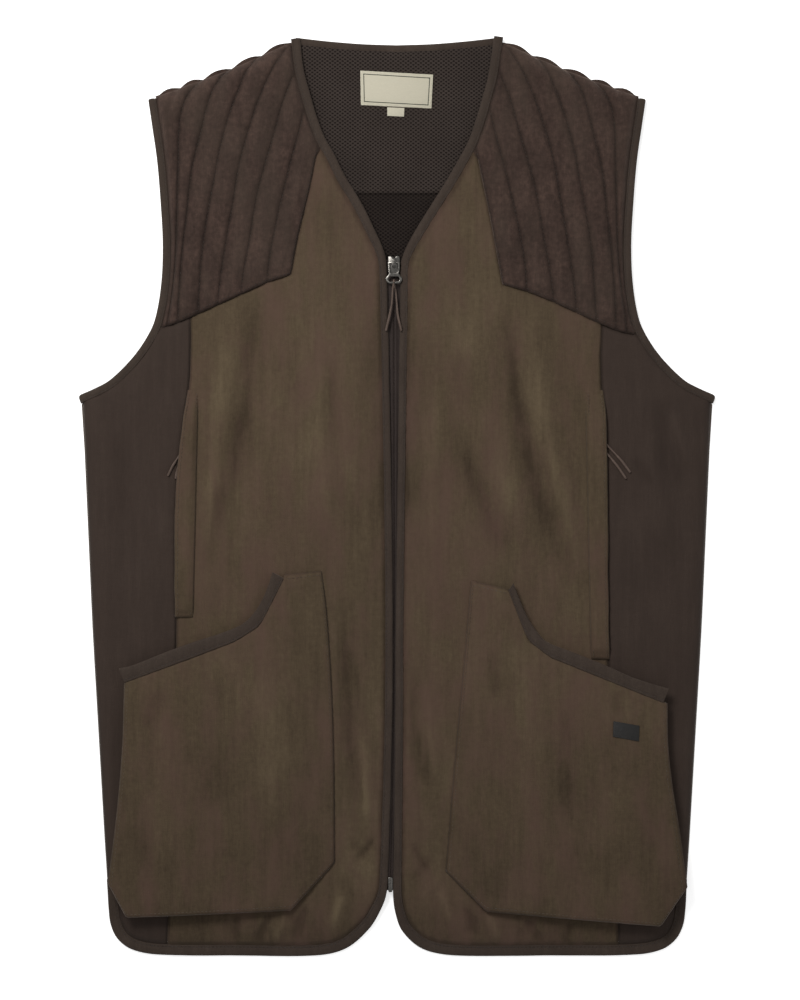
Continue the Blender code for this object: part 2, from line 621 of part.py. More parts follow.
def make_back():
    """The back panel, its two linings and its own bindings."""
    hem_inner = BACK_HEM_UP + BACK_HEM_BINDING_WIDTH + SEAM_GAP
    flat_piece("back_panel", mirrored(back_outline(0.0, hem_inner, 0.0, 0.9)), 0.0, CLOTH, "olive")
    body = [p for p in back_outline(1.2, hem_inner + 3.0, 9.0, 7.0) if p[1] < LINING_SEAM_UP - 6.0]
    armhole_out = nearest(ARMHOLE_INNER, 200.0, LINING_SEAM_UP)[1].x - 1.2
    body.insert(0, (armhole_out, LINING_SEAM_UP - SEAM_GAP))
    flat_piece("back_body_lining", mirrored(body), LINING_BOTTOM, LINING, "dark lining")
    yoke = [p for p in back_outline(1.2, hem_inner, 9.0, 7.0) if p[1] > LINING_SEAM_UP + 6.0]
    yoke.append((armhole_out, LINING_SEAM_UP))
    flat_piece("back_yoke_lining", mirrored(yoke), LINING_BOTTOM, LINING, "lining")

    neck_half = smooth(BACK_NECK, 12.0)
    neck = [Vector((-p.x, p.y)) for p in reversed(neck_half[1:])] + neck_half
    neck_inner = [Vector((p.x, p.y - BACK_NECK_BINDING_WIDTH)) for p in neck]
    binding("back_neck_binding", 1.0, neck, neck_inner, [BACK_BINDING_MIDDLE] * len(neck))

    corner = side_out(BACK_HEM_UP + 4.0)
    hem = [Vector((corner * k / 8, BACK_HEM_UP)) for k in range(-8, 9)]
    hem[0].y += 2.5
    hem[-1].y += 2.5
    hem_top = [Vector((p.x, BACK_HEM_UP + BACK_HEM_BINDING_WIDTH)) for p in hem]
    binding("back_hem_binding", 1.0, hem, hem_top, [CLOTH / 2 + 0.1] * len(hem), thickness=1.4)


def make_armhole_binding(side):
    """One loop of binding round an armhole, folded over at the shoulder tip and the underarm."""
    sign = SIGN[side]
    line = smooth(ARMHOLE, 12.0)
    inner = inward(line, ARMHOLE_BINDING_WIDTH)
    inner[0] = Vector((line[0].x - 0.8, line[0].y - ARMHOLE_BINDING_WIDTH))
    inner[1] = Vector((line[1].x - 2.8, line[1].y - ARMHOLE_BINDING_WIDTH + 0.4))
    turn_middle = (FRONT_BINDING_MIDDLE + BACK_BINDING_MIDDLE) / 2
    turn_radius = (FRONT_BINDING_MIDDLE - BACK_BINDING_MIDDLE) / 2
    stations = [(a, b, Vector((0, 0, FRONT_BINDING_MIDDLE)), Vector((0, 0, 1))) for a, b in zip(line, inner)]
    back_run = [(a, b, Vector((0, 0, BACK_BINDING_MIDDLE)), Vector((0, 0, -1))) for a, b in zip(line, inner)]

    def turn(a, b, direction):
        bends = []
        for degrees in (50, 90, 130):
            angle = math.radians(degrees)
            facing = Vector((direction.x * math.sin(angle), direction.y * math.sin(angle), math.cos(angle)))
            bends.append((a, b, Vector((0, 0, turn_middle)) + facing * turn_radius, facing))
        return bends

    tip_direction = (line[-1] - line[-2]).normalized()
    underarm_direction = Vector((0.85, -0.52))
    stations += turn(line[-1], inner[-1], tip_direction)
    stations += reversed(back_run)
    stations += reversed(turn(line[0], inner[0], underarm_direction))
    sections = []
    for a, b, middle, facing in stations:
        ring = []
        for w, t in BINDING_SECTION:
            spot = a.lerp(b, w).to_3d() + middle + facing * BINDING * t
            ring.append((sign * spot.x, spot.y, spot.z))
        sections.append(ring)
    loft(f"armhole_binding_{side}", sections, "binding", closed=True)


def make_front_edge_binding(side):
    """The long strip from the neck point down the front, round the hem and up to the vent."""
    line = smooth(FRONT_EDGE[side], 11.0)
    inner = inward(line, 0.0)
    binding(f"front_edge_binding_{side}", SIGN[side], line, inner, [point[3] for point in line])


def cut_share(curve, out, up):
    """The share of the curve's length at its point nearest to a place."""
    total = travelled(curve)
    spot = nearest(curve, out, up)[1]
    before = min(range(len(curve) - 1), key=lambda i: nearest(curve[i:i + 2], spot[0], spot[1])[0])
    return (total[before] + (spot - curve[before]).length) / total[-1]


def stretch(curve, start, end):
    """A function over the part of a curve between two shares of its length."""
    point = along(curve)
    return lambda share: point(start + (end - start) * share).to_2d()


def flat_edge(side):
    """The inner line of a front's bound edge, as plain (out, up) points."""
    return [Vector((p[0], p[1])) for p in EDGE_INNER[side]]


def hem_spot(side, out):
    """The place on the patch's lower edge that lies this far out."""
    hem = smooth(PATCH_HEM[side])
    for a, b in zip(hem, hem[1:]):
        if out >= b.x:
            return Vector((out, a.y + (b.y - a.y) * (a.x - out) / (a.x - b.x)))
    return hem[-1].copy()


def hem_feet(side):
    """The lower end of each line of the patch, from the armhole inwards."""
    outs = [PATCH_HEM[side][0][0] - PATCH_FOOT_INSET] + [rows[-1][0] for rows in CHANNELS]
    return [hem_spot(side, out) for out in outs] + [Vector(PATCH_HEM[side][-1])]


def front_places(side):
    """Place functions of the front and of the side front."""
    edge = flat_edge(side)
    seam = [SEAM_CURVE[side][0] - SEAM_SHIFT] + SEAM_CURVE[side][1:]
    patch_hem = [Vector(PATCH_HEM[side][0])] + hem_feet(side)
    patch_inner = smooth(PATCH_INNER[side])
    top_inner = Vector(PATCH_INNER[side][0])
    neck_share = cut_share(edge, *top_inner)
    zip_end_share = cut_share(edge, *ZIP_FOOT[side])
    hem_share = cut_share(edge, seam[-1].x, seam[-1].y)
    vent_share = cut_share(edge, *VENT_CORNER)
    seam_out, seam_up = SIDE_SEAM[side][0]
    hem_line = stretch(patch_hem, cut_share(patch_hem, seam_out, seam_up), 1.0)
    inner_line = along([Vector(p) for p in reversed(patch_inner)])

    def front_top(u):
        if u <= FRONT_TOP_BEND + 0.001:
            return hem_line(u / FRONT_TOP_BEND) - SEAM_SHIFT
        return inner_line((u - FRONT_TOP_BEND) / (1 - FRONT_TOP_BEND)) - Vector((0.5, -0.1))

    def moved_seam(amount):
        point = along(seam)
        return lambda share: point(share) + Vector((amount, 0.0))

    front = patch_between(
        front_top,
        stretch(edge, hem_share, zip_end_share),
        moved_seam(-SEAM_GAP / 2),
        stretch(edge, neck_share, zip_end_share),
    )
    armhole_line = stretch(ARMHOLE_INNER, 0.04, cut_share(ARMHOLE_INNER, *PATCH_HEM[side][0]))
    short_hem = stretch(patch_hem, 0.0, cut_share(patch_hem, seam_out, seam_up))

    def side_top(u):
        if u <= SIDE_CORNER:
            return UNDERARM.lerp(armhole_line(0.0), u / SIDE_CORNER)
        if u <= SIDE_TOP_BEND:
            return armhole_line((u - SIDE_CORNER) / (SIDE_TOP_BEND - SIDE_CORNER))
        return short_hem((u - SIDE_TOP_BEND) / (1 - SIDE_TOP_BEND)) - SEAM_SHIFT

    side_corner = Vector((side_out(VENT_TOP_UP), VENT_TOP_UP))
    hem_edge = stretch(edge, vent_share, hem_share)

    def side_outer(v):
        up = UNDERARM.y + (VENT_TOP_UP - UNDERARM.y) * v
        return Vector((side_out(up), up))

    def side_bottom(u):
        if u <= SIDE_CORNER:
            return side_corner.lerp(hem_edge(0.0), u / SIDE_CORNER)
        return hem_edge((u - SIDE_CORNER) / (1 - SIDE_CORNER))

    side_front = patch_between(
        side_top,
        side_bottom,
        side_outer,
        moved_seam(SEAM_GAP / 2),
    )
    return front, side_front


def closer_at_hem(u, v):
    """Shares whose rows lie closer together towards the hem."""
    return u, 1 - (1 - v) ** 1.25


def make_fronts(side):
    """The front and side front walls."""
    front, side_front = front_places(side)

    def top(u, v, out, up):
        return front_height(side, out, up)

    def bottom(u, v, out, up):
        return front_height(side, out, up, CLOTH)

    wall(f"front_{side}", side, FRONT_COLUMNS, FRONT_ROWS, front, top, bottom, "olive", spread=closer_at_hem)
    wall(f"side_front_{side}", side, SIDE_COLUMNS, FRONT_ROWS, side_front, top, bottom, "brown",
         spread=closer_at_hem)


def make_patch(side):
    """The shoulder patch, with its channels raised in the outer face over a plain inside."""
    hem = smooth(PATCH_HEM[side])
    feet = hem_feet(side)
    neck_edge = flat_edge(side)
    neck_point = Vector(SHOULDER[0])
    armhole = [p for p in reversed(ARMHOLE_INNER) if PATCH_HEM[side][0][1] + 4 < p.y < TIP.y - 4]
    rails = [[TIP] + armhole + [feet[0]]]
    for rows, foot in zip(CHANNELS, feet[1:]):
        line = smooth(rows)
        if line[0].x < neck_point.x - 1.0:
            line[0] = nearest(neck_edge, line[0].x, line[0].y)[1]
        rails.append([p for p in line[:-1] if p.y > foot.y + 3.0] + [foot])
    inner = smooth(PATCH_INNER[side])
    inner[0] = nearest(neck_edge, inner[0].x, inner[0].y)[1] + Vector((0.2, 0.6))
    rails.append(inner)
    lines = [along(rail) for rail in rails]
    strips = len(rails) - 1

    def strip_of(u):
        number = min(int(u * strips + 1e-6), strips - 1)
        return number, u * strips - number

    def swell(number, t, v):
        """The rise between two channels, 0 in a channel and 1 on a crest."""
        one = max(math.sin(math.pi * t), 0.0)
        if number > 0:
            return one
        two = abs(math.sin(2 * math.pi * t))
        return two + (one - two) * ease(v / 0.15)

    def place(u, v):
        number, t = strip_of(u)
        spot = lines[number](v).lerp(lines[number + 1](v), t)
        if number < 4:
            spot += Vector((0.4, 0.92)) * CHANNEL_SCALLOP * swell(number, t, v) * (1 - ease(v / 0.08))
        else:
            on_edge = nearest(neck_edge, spot.x, spot.y)[1]
            spot = spot.lerp(on_edge, 1 - ease(v / 0.03))
        return spot

    def top(u, v, out, up):
        number, t = strip_of(u)
        width = (lines[number](v) - lines[number + 1](v)).length
        crest = CHANNEL_CREST * (1 - math.exp(-width / 12.0))
        to_seam = min(nearest(hem, out, up)[0], nearest(inner, out, up)[0]) / 10.0
        shoulder = ease(nearest(SHOULDER_CURVE, out, up)[0] / 18.0)
        fade = (0.35 + 0.65 * ease(to_seam)) * (0.5 + 0.5 * shoulder)
        return front_height(side, out, up) + 0.5 + crest * fade * swell(number, t, v) ** 0.8

    def bottom(u, v, out, up):
        return front_height(side, out, up, CLOTH)

    wall(f"shoulder_patch_{side}", side, 4 * strips, 11, place, top, bottom, "patch",
         spread=lambda u, v: (u, v ** 1.5))


def make_welt(side):
    """The welt over a side zip, with the zip's slider and lace ends under it."""
    sign = SIGN[side]
    top_up, bottom_up, stitched_top, stitched_bottom = WELT[side]
    seam = SEAM_CURVE[side]

    def seam_at(up):
        return nearest(seam, 185.0, up)[1].x

    def place(u, v):
        up = top_up + (bottom_up - top_up) * v
        stitched = stitched_top + (stitched_bottom - stitched_top) * v
        free = seam_at(up) + 1.2
        return Vector((free + (stitched - free) * u, up))

    slider_up = SIDE_SLIDER_UP[side]

    def lift(u, v, out, up):
        over_slider = math.exp(-(((up - slider_up + 4.0) / 18.0) ** 2))
        ends = 0.4 + 0.6 * ease(min(v, 1 - v) / 0.06)
        open_share = 1 - ease((u - 0.7) / 0.3)
        return SEAM_GAP + (WELT_LIFT + 1.2 * over_slider) * open_share * ends

    def bottom(u, v, out, up):
        return FRONT_TOP + lift(u, v, out, up)

    def top(u, v, out, up):
        return bottom(u, v, out, up) + CLOTH - 0.2

    wall(f"welt_{side}", side, 4, 16, place, top, bottom, "olive")

    slider_outer = seam_at(slider_up) - 2.0
    slider_inner = slider_outer - SIDE_SLIDER_WIDTH
    half = SIDE_SLIDER_LENGTH / 2
    corner = 1.5
    slider = [
        (slider_outer, slider_up - half + corner), (slider_outer, slider_up + half - corner),
        (slider_outer - corner, slider_up + half), (slider_inner + corner, slider_up + half),
        (slider_inner, slider_up + half - corner), (slider_inner, slider_up - half + corner),
        (slider_inner + corner, slider_up - half), (slider_outer - corner, slider_up - half),
    ]
    flat_piece(f"side_zip_slider_{side}", [(sign * x, y) for x, y in slider],
               FRONT_TOP + SEAM_GAP, SIDE_SLIDER_HEIGHT, "metal")
    for number, rows in enumerate(SIDE_LACES[side], start=1):
        points = [(sign * p.x, p.y, p.z) for p in smooth(rows, 4.5)]
        tube(f"side_lace_{side}_{number}", points, LACE, "lace")


def pocket_lift(u, v):
    """How far the pocket's outer face stands over the front."""
    towards_side = math.sin(math.pi / 2 * min(1.0, (1 - u) / 0.85))
    depth = POCKET_DEPTH * towards_side * (0.8 + 0.2 * v)
    return POCKET_SEAM_LIFT + depth + POCKET_BULGE * math.sin(math.pi * u) * math.sin(math.pi * v)


def make_pocket(side):
    """A cargo pocket: the face, the folded gusset under its free edges and the mouth binding."""
    sign = SIGN[side]
    place = pocket_place(side)

    def top(u, v, out, up):
        return FRONT_TOP + pocket_lift(u, v)

    def bottom(u, v, out, up):
        return top(u, v, out, up) - CLOTH

    wall(f"pocket_face_{side}", side, 10, 10, place, top, bottom, "olive")

    upper = smooth(MOUTH_UPPER[side], 10.0)
    lower = []
    middles = []
    steps = [k / 100 * 0.72 for k in range(101)]
    for point in upper:
        u = min(steps, key=lambda share: (place(share, 0.0) - point).length)
        foot = place(u, 0.0)
        reach = foot - point
        lower.append(point + reach * (reach.length - BINDING_GAP) / reach.length)
        middles.append(FRONT_TOP + pocket_lift(u, 0.0) - CLOTH / 2)
    binding(f"pocket_mouth_binding_{side}", sign, upper, lower, middles, thickness=2.4)

    edge = [(0.0, v / 8) for v in range(1, 9)] + [(u, 1.0) for u in (0.1, 0.24, 0.38, 0.52, 0.66, 0.8)]
    spots = [place(u, v) for u, v in edge]
    sections = []
    for i, (u, v) in enumerate(edge):
        a = spots[max(i - 1, 0)]
        b = spots[min(i + 1, len(spots) - 1)]
        direction = (b - a).normalized()
        inwards = Vector((-direction.y, direction.x))
        if inwards.dot(Vector((150.0, -230.0)) - spots[i]) < 0:
            inwards = -inwards
        reaches = [spots[i] + inwards * (GUSSET_INSET + k * (GUSSET_FOLD + GUSSET_WALL)) for k in (0, 1)]
        foot = max(front_height(side, spot.x, spot.y) for spot in reaches) + 0.4
        head = FRONT_TOP + pocket_lift(u, v) - CLOTH - 0.5
        middle = (foot + head) / 2
        ring = []
        for depth, height in (
            (0.0, foot), (GUSSET_FOLD, middle), (0.0, head), (GUSSET_WALL, head),
            (GUSSET_FOLD + GUSSET_WALL, middle), (GUSSET_WALL, foot),
        ):
            spot = spots[i] + inwards * (GUSSET_INSET + depth)
            ring.append((sign * spot.x, spot.y, height))
        sections.append(ring)
    loft(f"pocket_gusset_{side}", sections, "olive")


def make_pocket_tab():
    """The small woven tab sewn on the right pocket."""
    place = pocket_place("right")
    shares = [k / 40 for k in range(41)]
    ring_top = []
    ring_bottom = []
    for x, y in POCKET_TAB:
        spot = Vector((x, y))
        u, v = min(((u, v) for u in shares for v in shares), key=lambda s: (place(*s) - spot).length)
        height = FRONT_TOP + pocket_lift(u, v) + SEAM_GAP
        ring_bottom.append((x, y, height))
        ring_top.append((x, y, height + 0.8))
    loft("pocket_tab", [ring_bottom, ring_top], "tab")


def make_main_zip():
    """The tapes, slider, bail, pull tab, lace and bottom box of the main zip."""
    middle = smooth(ZIP_LINE, 45.0)
    for side, sign in SIGN.items():
        near = [(p.x + sign * SEAM_GAP / 2, p.y) for p in middle]
        far = [(p.x + sign * ZIP_TAPE_WIDTH, p.y) for p in reversed(middle)]
        flat_piece(f"zip_tape_{side}", near + far, ZIP_TAPE_BOTTOM, ZIP_TAPE, "zip")

    body = [
        (-5.2, 208.0), (-3.6, 209.0), (-1.2, 208.2), (0.0, 206.6), (1.2, 208.2), (3.6, 209.0),
        (5.2, 208.0), (5.2, 201.0), (4.3, 194.0), (3.2, 192.4), (-3.2, 192.4), (-4.3, 194.0),
        (-5.2, 201.0),
    ]
    flat_piece("zip_slider", [(SLIDER_X + x, y) for x, y in body], SLIDER_BOTTOM, SLIDER_HEIGHT, "metal")

    deck = SLIDER_BOTTOM + SLIDER_HEIGHT + SEAM_GAP
    arch = [
        (198.4, deck), (198.8, deck + 2.7), (200.4, deck + BAIL_HEIGHT), (205.2, deck + BAIL_HEIGHT),
        (206.8, deck + 2.7), (207.2, deck), (205.4, deck), (205.2, deck + BAIL_ROOM), (200.6, deck + BAIL_ROOM),
        (200.2, deck),
    ]
    loft("zip_bail", [[(SLIDER_X + x, y, z) for y, z in arch] for x in (-1.6, 1.6)], "metal")

    half = [
        (4.6, 203.6), (5.2, 202.6), (5.0, 197.0), (4.3, 193.0), (5.2, 191.6), (7.0, 189.6), (7.1, 187.4),
        (5.4, 185.0), (3.4, 184.4),
    ]
    window = [(3.4, 202.0), (3.4, 195.0), (2.6, 193.8)]
    ring_hole = [(3.6, 190.6), (4.9, 189.0), (4.6, 187.0), (3.6, 186.2)]
    rings = [[(SLIDER_X + x, y) for x, y in mirrored(shape)] for shape in (half, window, ring_hole)]
    tab = flat_piece("zip_pull_tab", rings[0], PIVOT_Z - TAB_THICKNESS / 2, TAB_THICKNESS, "metal",
                     holes=rings[1:])
    hinge = Vector((SLIDER_X, PIVOT_Y, PIVOT_Z)) * MM
    for spline in tab.data.splines:
        for point in spline.points:
            point.co = (point.co.x - hinge.x, point.co.y - hinge.y, 0.0, 1.0)
    tab.location = hinge

    loop = []
    for degrees in range(-90, 91, 20):
        angle = math.radians(degrees)
        loop.append((
            SLIDER_X,
            TAB_RING_BAR_Y + LACE_LOOP_RADIUS * math.cos(angle),
            PIVOT_Z + LACE_LOOP_RADIUS * math.sin(angle),
        ))
    tube("pull_lace_loop", loop, LACE, "lace")
    for name, rows in MAIN_LACES.items():
        tube(name, [tuple(p) for p in smooth(rows, 4.5)], LACE, "lace")

    box_x = -5.75
    box = [(-1.9, -331.5), (1.9, -331.5), (1.9, -343.0), (1.2, -344.5), (-1.2, -344.5), (-1.9, -343.0)]
    flat_piece("zip_box", [(box_x + x, y) for x, y in box], SLIDER_BOTTOM, 2.6, "metal")


def make_labels():
    """The neck label and the size tab under it."""
    label_bottom = LINING_BOTTOM + LINING + SEAM_GAP
    flat_piece("neck_label", NECK_LABEL, label_bottom, 0.8, "label")
    flat_piece("size_tab", SIZE_TAB, label_bottom, 0.6, "label")


def main():
    for old in list(bpy.data.objects):
        bpy.data.objects.remove(old, do_unlink=True)
    collection = bpy.data.collections.new("gilet")
    bpy.context.scene.collection.children.link(collection)
    make_back()
    for side in SIGN:
        make_fronts(side)
        make_patch(side)
        make_armhole_binding(side)
        make_front_edge_binding(side)
        make_welt(side)
        make_pocket(side)
    make_pocket_tab()
    make_main_zip()
    make_labels()


main()
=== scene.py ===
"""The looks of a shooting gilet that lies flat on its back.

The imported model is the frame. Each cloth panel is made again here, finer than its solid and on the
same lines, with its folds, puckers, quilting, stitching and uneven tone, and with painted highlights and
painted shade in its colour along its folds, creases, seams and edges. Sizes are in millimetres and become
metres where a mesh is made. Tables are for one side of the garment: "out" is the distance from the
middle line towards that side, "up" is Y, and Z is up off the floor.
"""

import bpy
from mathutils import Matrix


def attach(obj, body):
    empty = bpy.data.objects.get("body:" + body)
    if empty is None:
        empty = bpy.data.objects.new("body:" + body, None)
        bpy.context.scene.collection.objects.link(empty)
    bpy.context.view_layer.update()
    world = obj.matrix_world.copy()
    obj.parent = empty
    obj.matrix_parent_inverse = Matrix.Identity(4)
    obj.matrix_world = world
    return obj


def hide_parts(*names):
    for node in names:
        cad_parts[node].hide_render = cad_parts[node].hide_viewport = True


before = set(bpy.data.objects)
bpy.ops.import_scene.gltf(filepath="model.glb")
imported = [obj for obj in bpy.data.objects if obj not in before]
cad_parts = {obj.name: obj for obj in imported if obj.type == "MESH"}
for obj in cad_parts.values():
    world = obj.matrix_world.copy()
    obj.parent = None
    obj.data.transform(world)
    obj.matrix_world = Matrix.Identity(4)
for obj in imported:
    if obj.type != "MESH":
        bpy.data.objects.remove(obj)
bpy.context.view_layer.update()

import logging
import math
from collections.abc import Callable, Sequence
from dataclasses import dataclass, field, replace
from enum import Enum
from functools import cache

import bmesh
import bpy
import numpy as np
from mathutils import Euler, Vector, noise

LOG = logging.getLogger("gilet")
MM = 0.001
Array = np.ndarray
Rows = Sequence[Sequence[float]]
Colour = tuple[float, float, float]
Place = Callable[[Array, Array], Array]
Edge = Callable[[Array], Array]
Height = Callable[[Array, Array, Array], Array]
Piece = bpy.types.Object
Socket = bpy.types.NodeSocket


class Side(Enum):
    """The two sides of the garment, as the photograph shows them."""

    LEFT = "left"
    RIGHT = "right"

    @property
    def sign(self) -> float:
        """The sign of X on this side."""
        return -1.0 if self is Side.LEFT else 1.0

    @property
    def seed(self) -> float:
        """A number that keeps the two sides' small relief unlike."""
        return 3.7 if self is Side.LEFT else 41.3

    def placed(self, flat: Array, z: Array) -> Array:
        """Rows of (x, y, z) on this side, from rows of (out, up) and their heights."""
        return np.column_stack([self.sign * flat[:, 0], flat[:, 1], z])


class Body(Enum):
    """The rigid bodies of the frame."""

    GILET = "gilet"
    PULL_TAB = "pull_tab"


# How near two vertices are to be one, in metres, on new pieces and on copies of solids
SAME_SPOT = 0.000005
SAME_CORNER = 0.00002

# Cloth layers and driving sizes, as in the solids
CLOTH = 1.6
LINING = 1.0
LINING_TOP = 2.9
FRONT_TOP = 8.0
FOLD_LOW = 0.9
BINDING = 2.8
BACK_BINDING_MIDDLE = 1.6
FRONT_BINDING_MIDDLE = 4.7
TOP_UP = 400.5
HEM_UP = -400.5
BACK_HEM_UP = -343.0
VENT_TOP_UP = -340.0
ARMHOLE_BINDING_WIDTH = 7.0
BACK_NECK_BINDING_WIDTH = 7.0
BACK_HEM_BINDING_WIDTH = 9.5
LINING_SEAM_UP = 263.5
FOLD_REACH = 14.0
ARMHOLE_FALL = 20.0
FRONT_TOP_BEND = 7 / 12
SIDE_CORNER = 1 / 8
SIDE_TOP_BEND = 6 / 8
FADE_TO_SIDE = 25.0
FADE_TO_SHOULDER = 30.0
FADE_TO_ARMHOLE = 14.0
FADE_TO_EDGE = 12.0
# No fold reaches down to the lining
DEEPEST_FOLD = 3.0
# How far a panel runs in under the binding or patch that covers its edge
TUCK = 3.2
SEAM_TUCK = np.array([-0.5, -2.4])
ZIP_FOOT = {"left": (15.6, -346.0), "right": (4.6, -346.0)}
VENT_CORNER = (243.5, VENT_TOP_UP - 4.0)

# Rows of (out, up), from the underarm up to the shoulder tip
ARMHOLE = [
    (275, 88.5), (262.5, 94), (250, 101), (232, 118.5), (219.5, 135.5), (211, 153),
    (205.5, 183.5), (204, 218.5), (206, 257.5), (209, 292.5), (213.5, 324), (216.3, 343),
]
# Rows of (out, up), from the underarm down to the top of the vent
SIDE_EDGE = [
    (275, 88.5), (272.5, 40), (269, -38.5), (265.5, -116.5), (261, -195), (258, -247),
    (255, -299.5), (252.4, VENT_TOP_UP),
]
# Rows of (out, up) where the channels of the patch meet the shoulder line, from the neck to the tip
SHOULDER = [
    (93, 395), (117.4, 383.7), (143.6, 372.4), (168.8, 362.8), (190.5, 355), (208.6, 348),
]
# Rows of (out, up), half of the neck edge of the back, from the middle
BACK_NECK = [(0, 393), (30, 394), (60, 396.4), (83, 399)]
# Rows of (out, up, width of the binding, height of its middle), round the hem's corner to the vent
HEM_CORNER = [
    (209.5, HEM_UP + 0.8, 9.5, 1.9), (231.5, -395, 9.5, 1.9), (243.5, -386, 9.5, 1.9),
    (249.5, -374, 9.5, 2), (251.4, -360, 9.2, 2.4), (252.2, VENT_TOP_UP - 4, 8.6, 2.9),
    (252.8, -334, 8.4, 2.9),
]
# The same from the neck point to the hem's corner
FRONT_EDGE = {
    "left": [
        (84.3, TOP_UP - 1.8, 8, 4.2), (81, 371, 8, 6), (76, 352, 8, 6.7),
        (70.5, 333, 8, 6.9), (63, 312.5, 8, 6.9), (53.5, 295.5, 8, 6.9),
        (45, 278, 8, 6.9), (34.5, 261, 8, 6.9), (26, 245.5, 8, 6.9),
        (18.5, 230, 7.8, 6.9), (12.5, 216.5, 7.4, 6.9), (9.3, 205, 7, 6.9),
        (8.3, 179, 6.6, 6.9), (5.4, 40, 6.6, 6.9), (3.6, -101, 6.6, 6.9),
        (4.6, -220, 6.8, 6.9), (7.6, -325, 7.2, 6.9), (9, -346, 7.6, 6.7),
        (14, -360, 8.4, 5.2), (24.5, -377.5, 9.2, 3.2), (44.5, -394.5, 9.5, 2.1),
        (70.5, HEM_UP, 9.5, 1.9), (140, HEM_UP, 9.5, 1.9), *HEM_CORNER,
    ],
    "right": [
        (84.5, TOP_UP, 8, 4.5), (79, 364, 8, 6.2), (75, 349, 8, 6.7),
        (70, 331.5, 8, 6.9), (63, 311, 8, 6.9), (53.5, 292.5, 8, 6.9),
        (41.5, 272, 8, 6.9), (30.5, 254.5, 8, 6.9), (20, 238, 8, 6.9),
        (11.8, 224, 7.8, 6.9), (6, 212, 7.2, 6.9), (3.4, 203, 6.8, 6.9),
        (2.9, 179, 6.6, 6.9), (0.9, 40, 6.6, 6.9), (-0.9, -101, 6.6, 6.9),
        (-1.6, -220, 6.8, 6.9), (-3, -325, 7.2, 6.9), (-3.4, -346, 7.6, 6.7),
        (-1.6, -362, 8.4, 5), (4.5, -379, 9.2, 3.2), (22.5, -394.8, 9.5, 2.1),
        (50, HEM_UP, 9.5, 1.9), (130, HEM_UP, 9.5, 1.9), *HEM_CORNER,
    ],
}
# Rows of (out, up), the lower edge of the patch, from the armhole inwards
PATCH_HEM = {
    "left": [
        (207, 146), (194.5, 149), (175.5, 157), (155, 166.5), (136, 175), (112, 186), (92, 192.5),
    ],
    "right": [
        (210, 140), (197, 142), (179.5, 148), (166, 155), (143.5, 165), (123, 174.5), (91.5, 184),
    ],
}
# Rows of (out, up), the inner edge of the patch, from the neck binding down
PATCH_INNER = {
    "left": [(68.7, 303), (77.5, 259.5), (86, 225), (92, 192.5)],
    "right": [(69, 300), (73.5, 276.5), (80, 246), (91.5, 184)],
}
# The sewn channels of the patch, each with rows of (out, up), from the shoulder or neck down
CHANNELS = [
    [(168.8, 362.8), (180.1, 351.5), (186.5, 337), (189.5, 318), (190, 290), (190.8, 260),
     (191.5, 230), (193, 200), (196, 172), (200, 148)],
    [(143.6, 372.4), (152.3, 365.4), (159.2, 355), (164.4, 341), (168.8, 323.6), (173.1, 305.4),
     (177.5, 288), (180.1, 270.6), (182.7, 244.5), (185.4, 222.7), (187.2, 205.3), (190.5, 158)],
    [(117.4, 383.7), (125.3, 377.6), (131.4, 368.9), (136.6, 355.8), (144.4, 335.8), (150.5, 314.9),
     (154.9, 296.7), (159.2, 273.2), (163.6, 250.6), (167, 229.7), (170, 205.3), (173, 160)],
    [(93, 395), (106.1, 375), (115.5, 356), (122.7, 337.6), (128.8, 318.4), (134, 301),
     (138.3, 281.9), (141.8, 259.3), (146.2, 234.9), (149.6, 214), (154, 183.6), (156, 168)],
    [(86.8, 374), (92.5, 360), (99.5, 341.5), (107, 314), (113.1, 294.1), (118.3, 274.9),
     (121.8, 261), (125.3, 240.1), (128.8, 218.4), (132.2, 201), (136, 176)],
    [(79.2, 341.9), (87, 309.7), (93.1, 288), (98.3, 266.2), (103.5, 244.5), (107, 227),
     (109.6, 214), (113, 186)],
]
PATCH_FOOT_INSET = 2.6
CHANNEL_CREST = 3.9
CHANNEL_SCALLOP = 3.0

# Rows of (out, up), the seam between the front and the side front, from the patch to the hem
SIDE_SEAM = {
    "left": [
        (179, 155.5), (180, 104.5), (182, 85.5), (184.5, 65), (189, 29), (191, 1),
        (192, -37), (192, -129.5), (196, -264.5), (200, -389.6),
    ],
    "right": [
        (178, 149), (177, 122), (178, 94), (180, 76.5), (181, 42.5), (182, 1.5),
        (182.5, -92), (183.5, -142.5), (187, -264.5), (193, -389.6),
    ],
}
# The welt over each side zip: (top up, bottom up, out of its stitched edge at top and bottom)
WELT = {"left": (92, -105.5, 172.5, 177), "right": (92, -142, 163.5, 168.5)}
WELT_LIFT = 2.0
WELT_SPAN = 34.0
POCKET_FADE = 10.0
WELT_FADE = 12.0
SIDE_SLIDER_UP = {"left": 50, "right": 54.0}

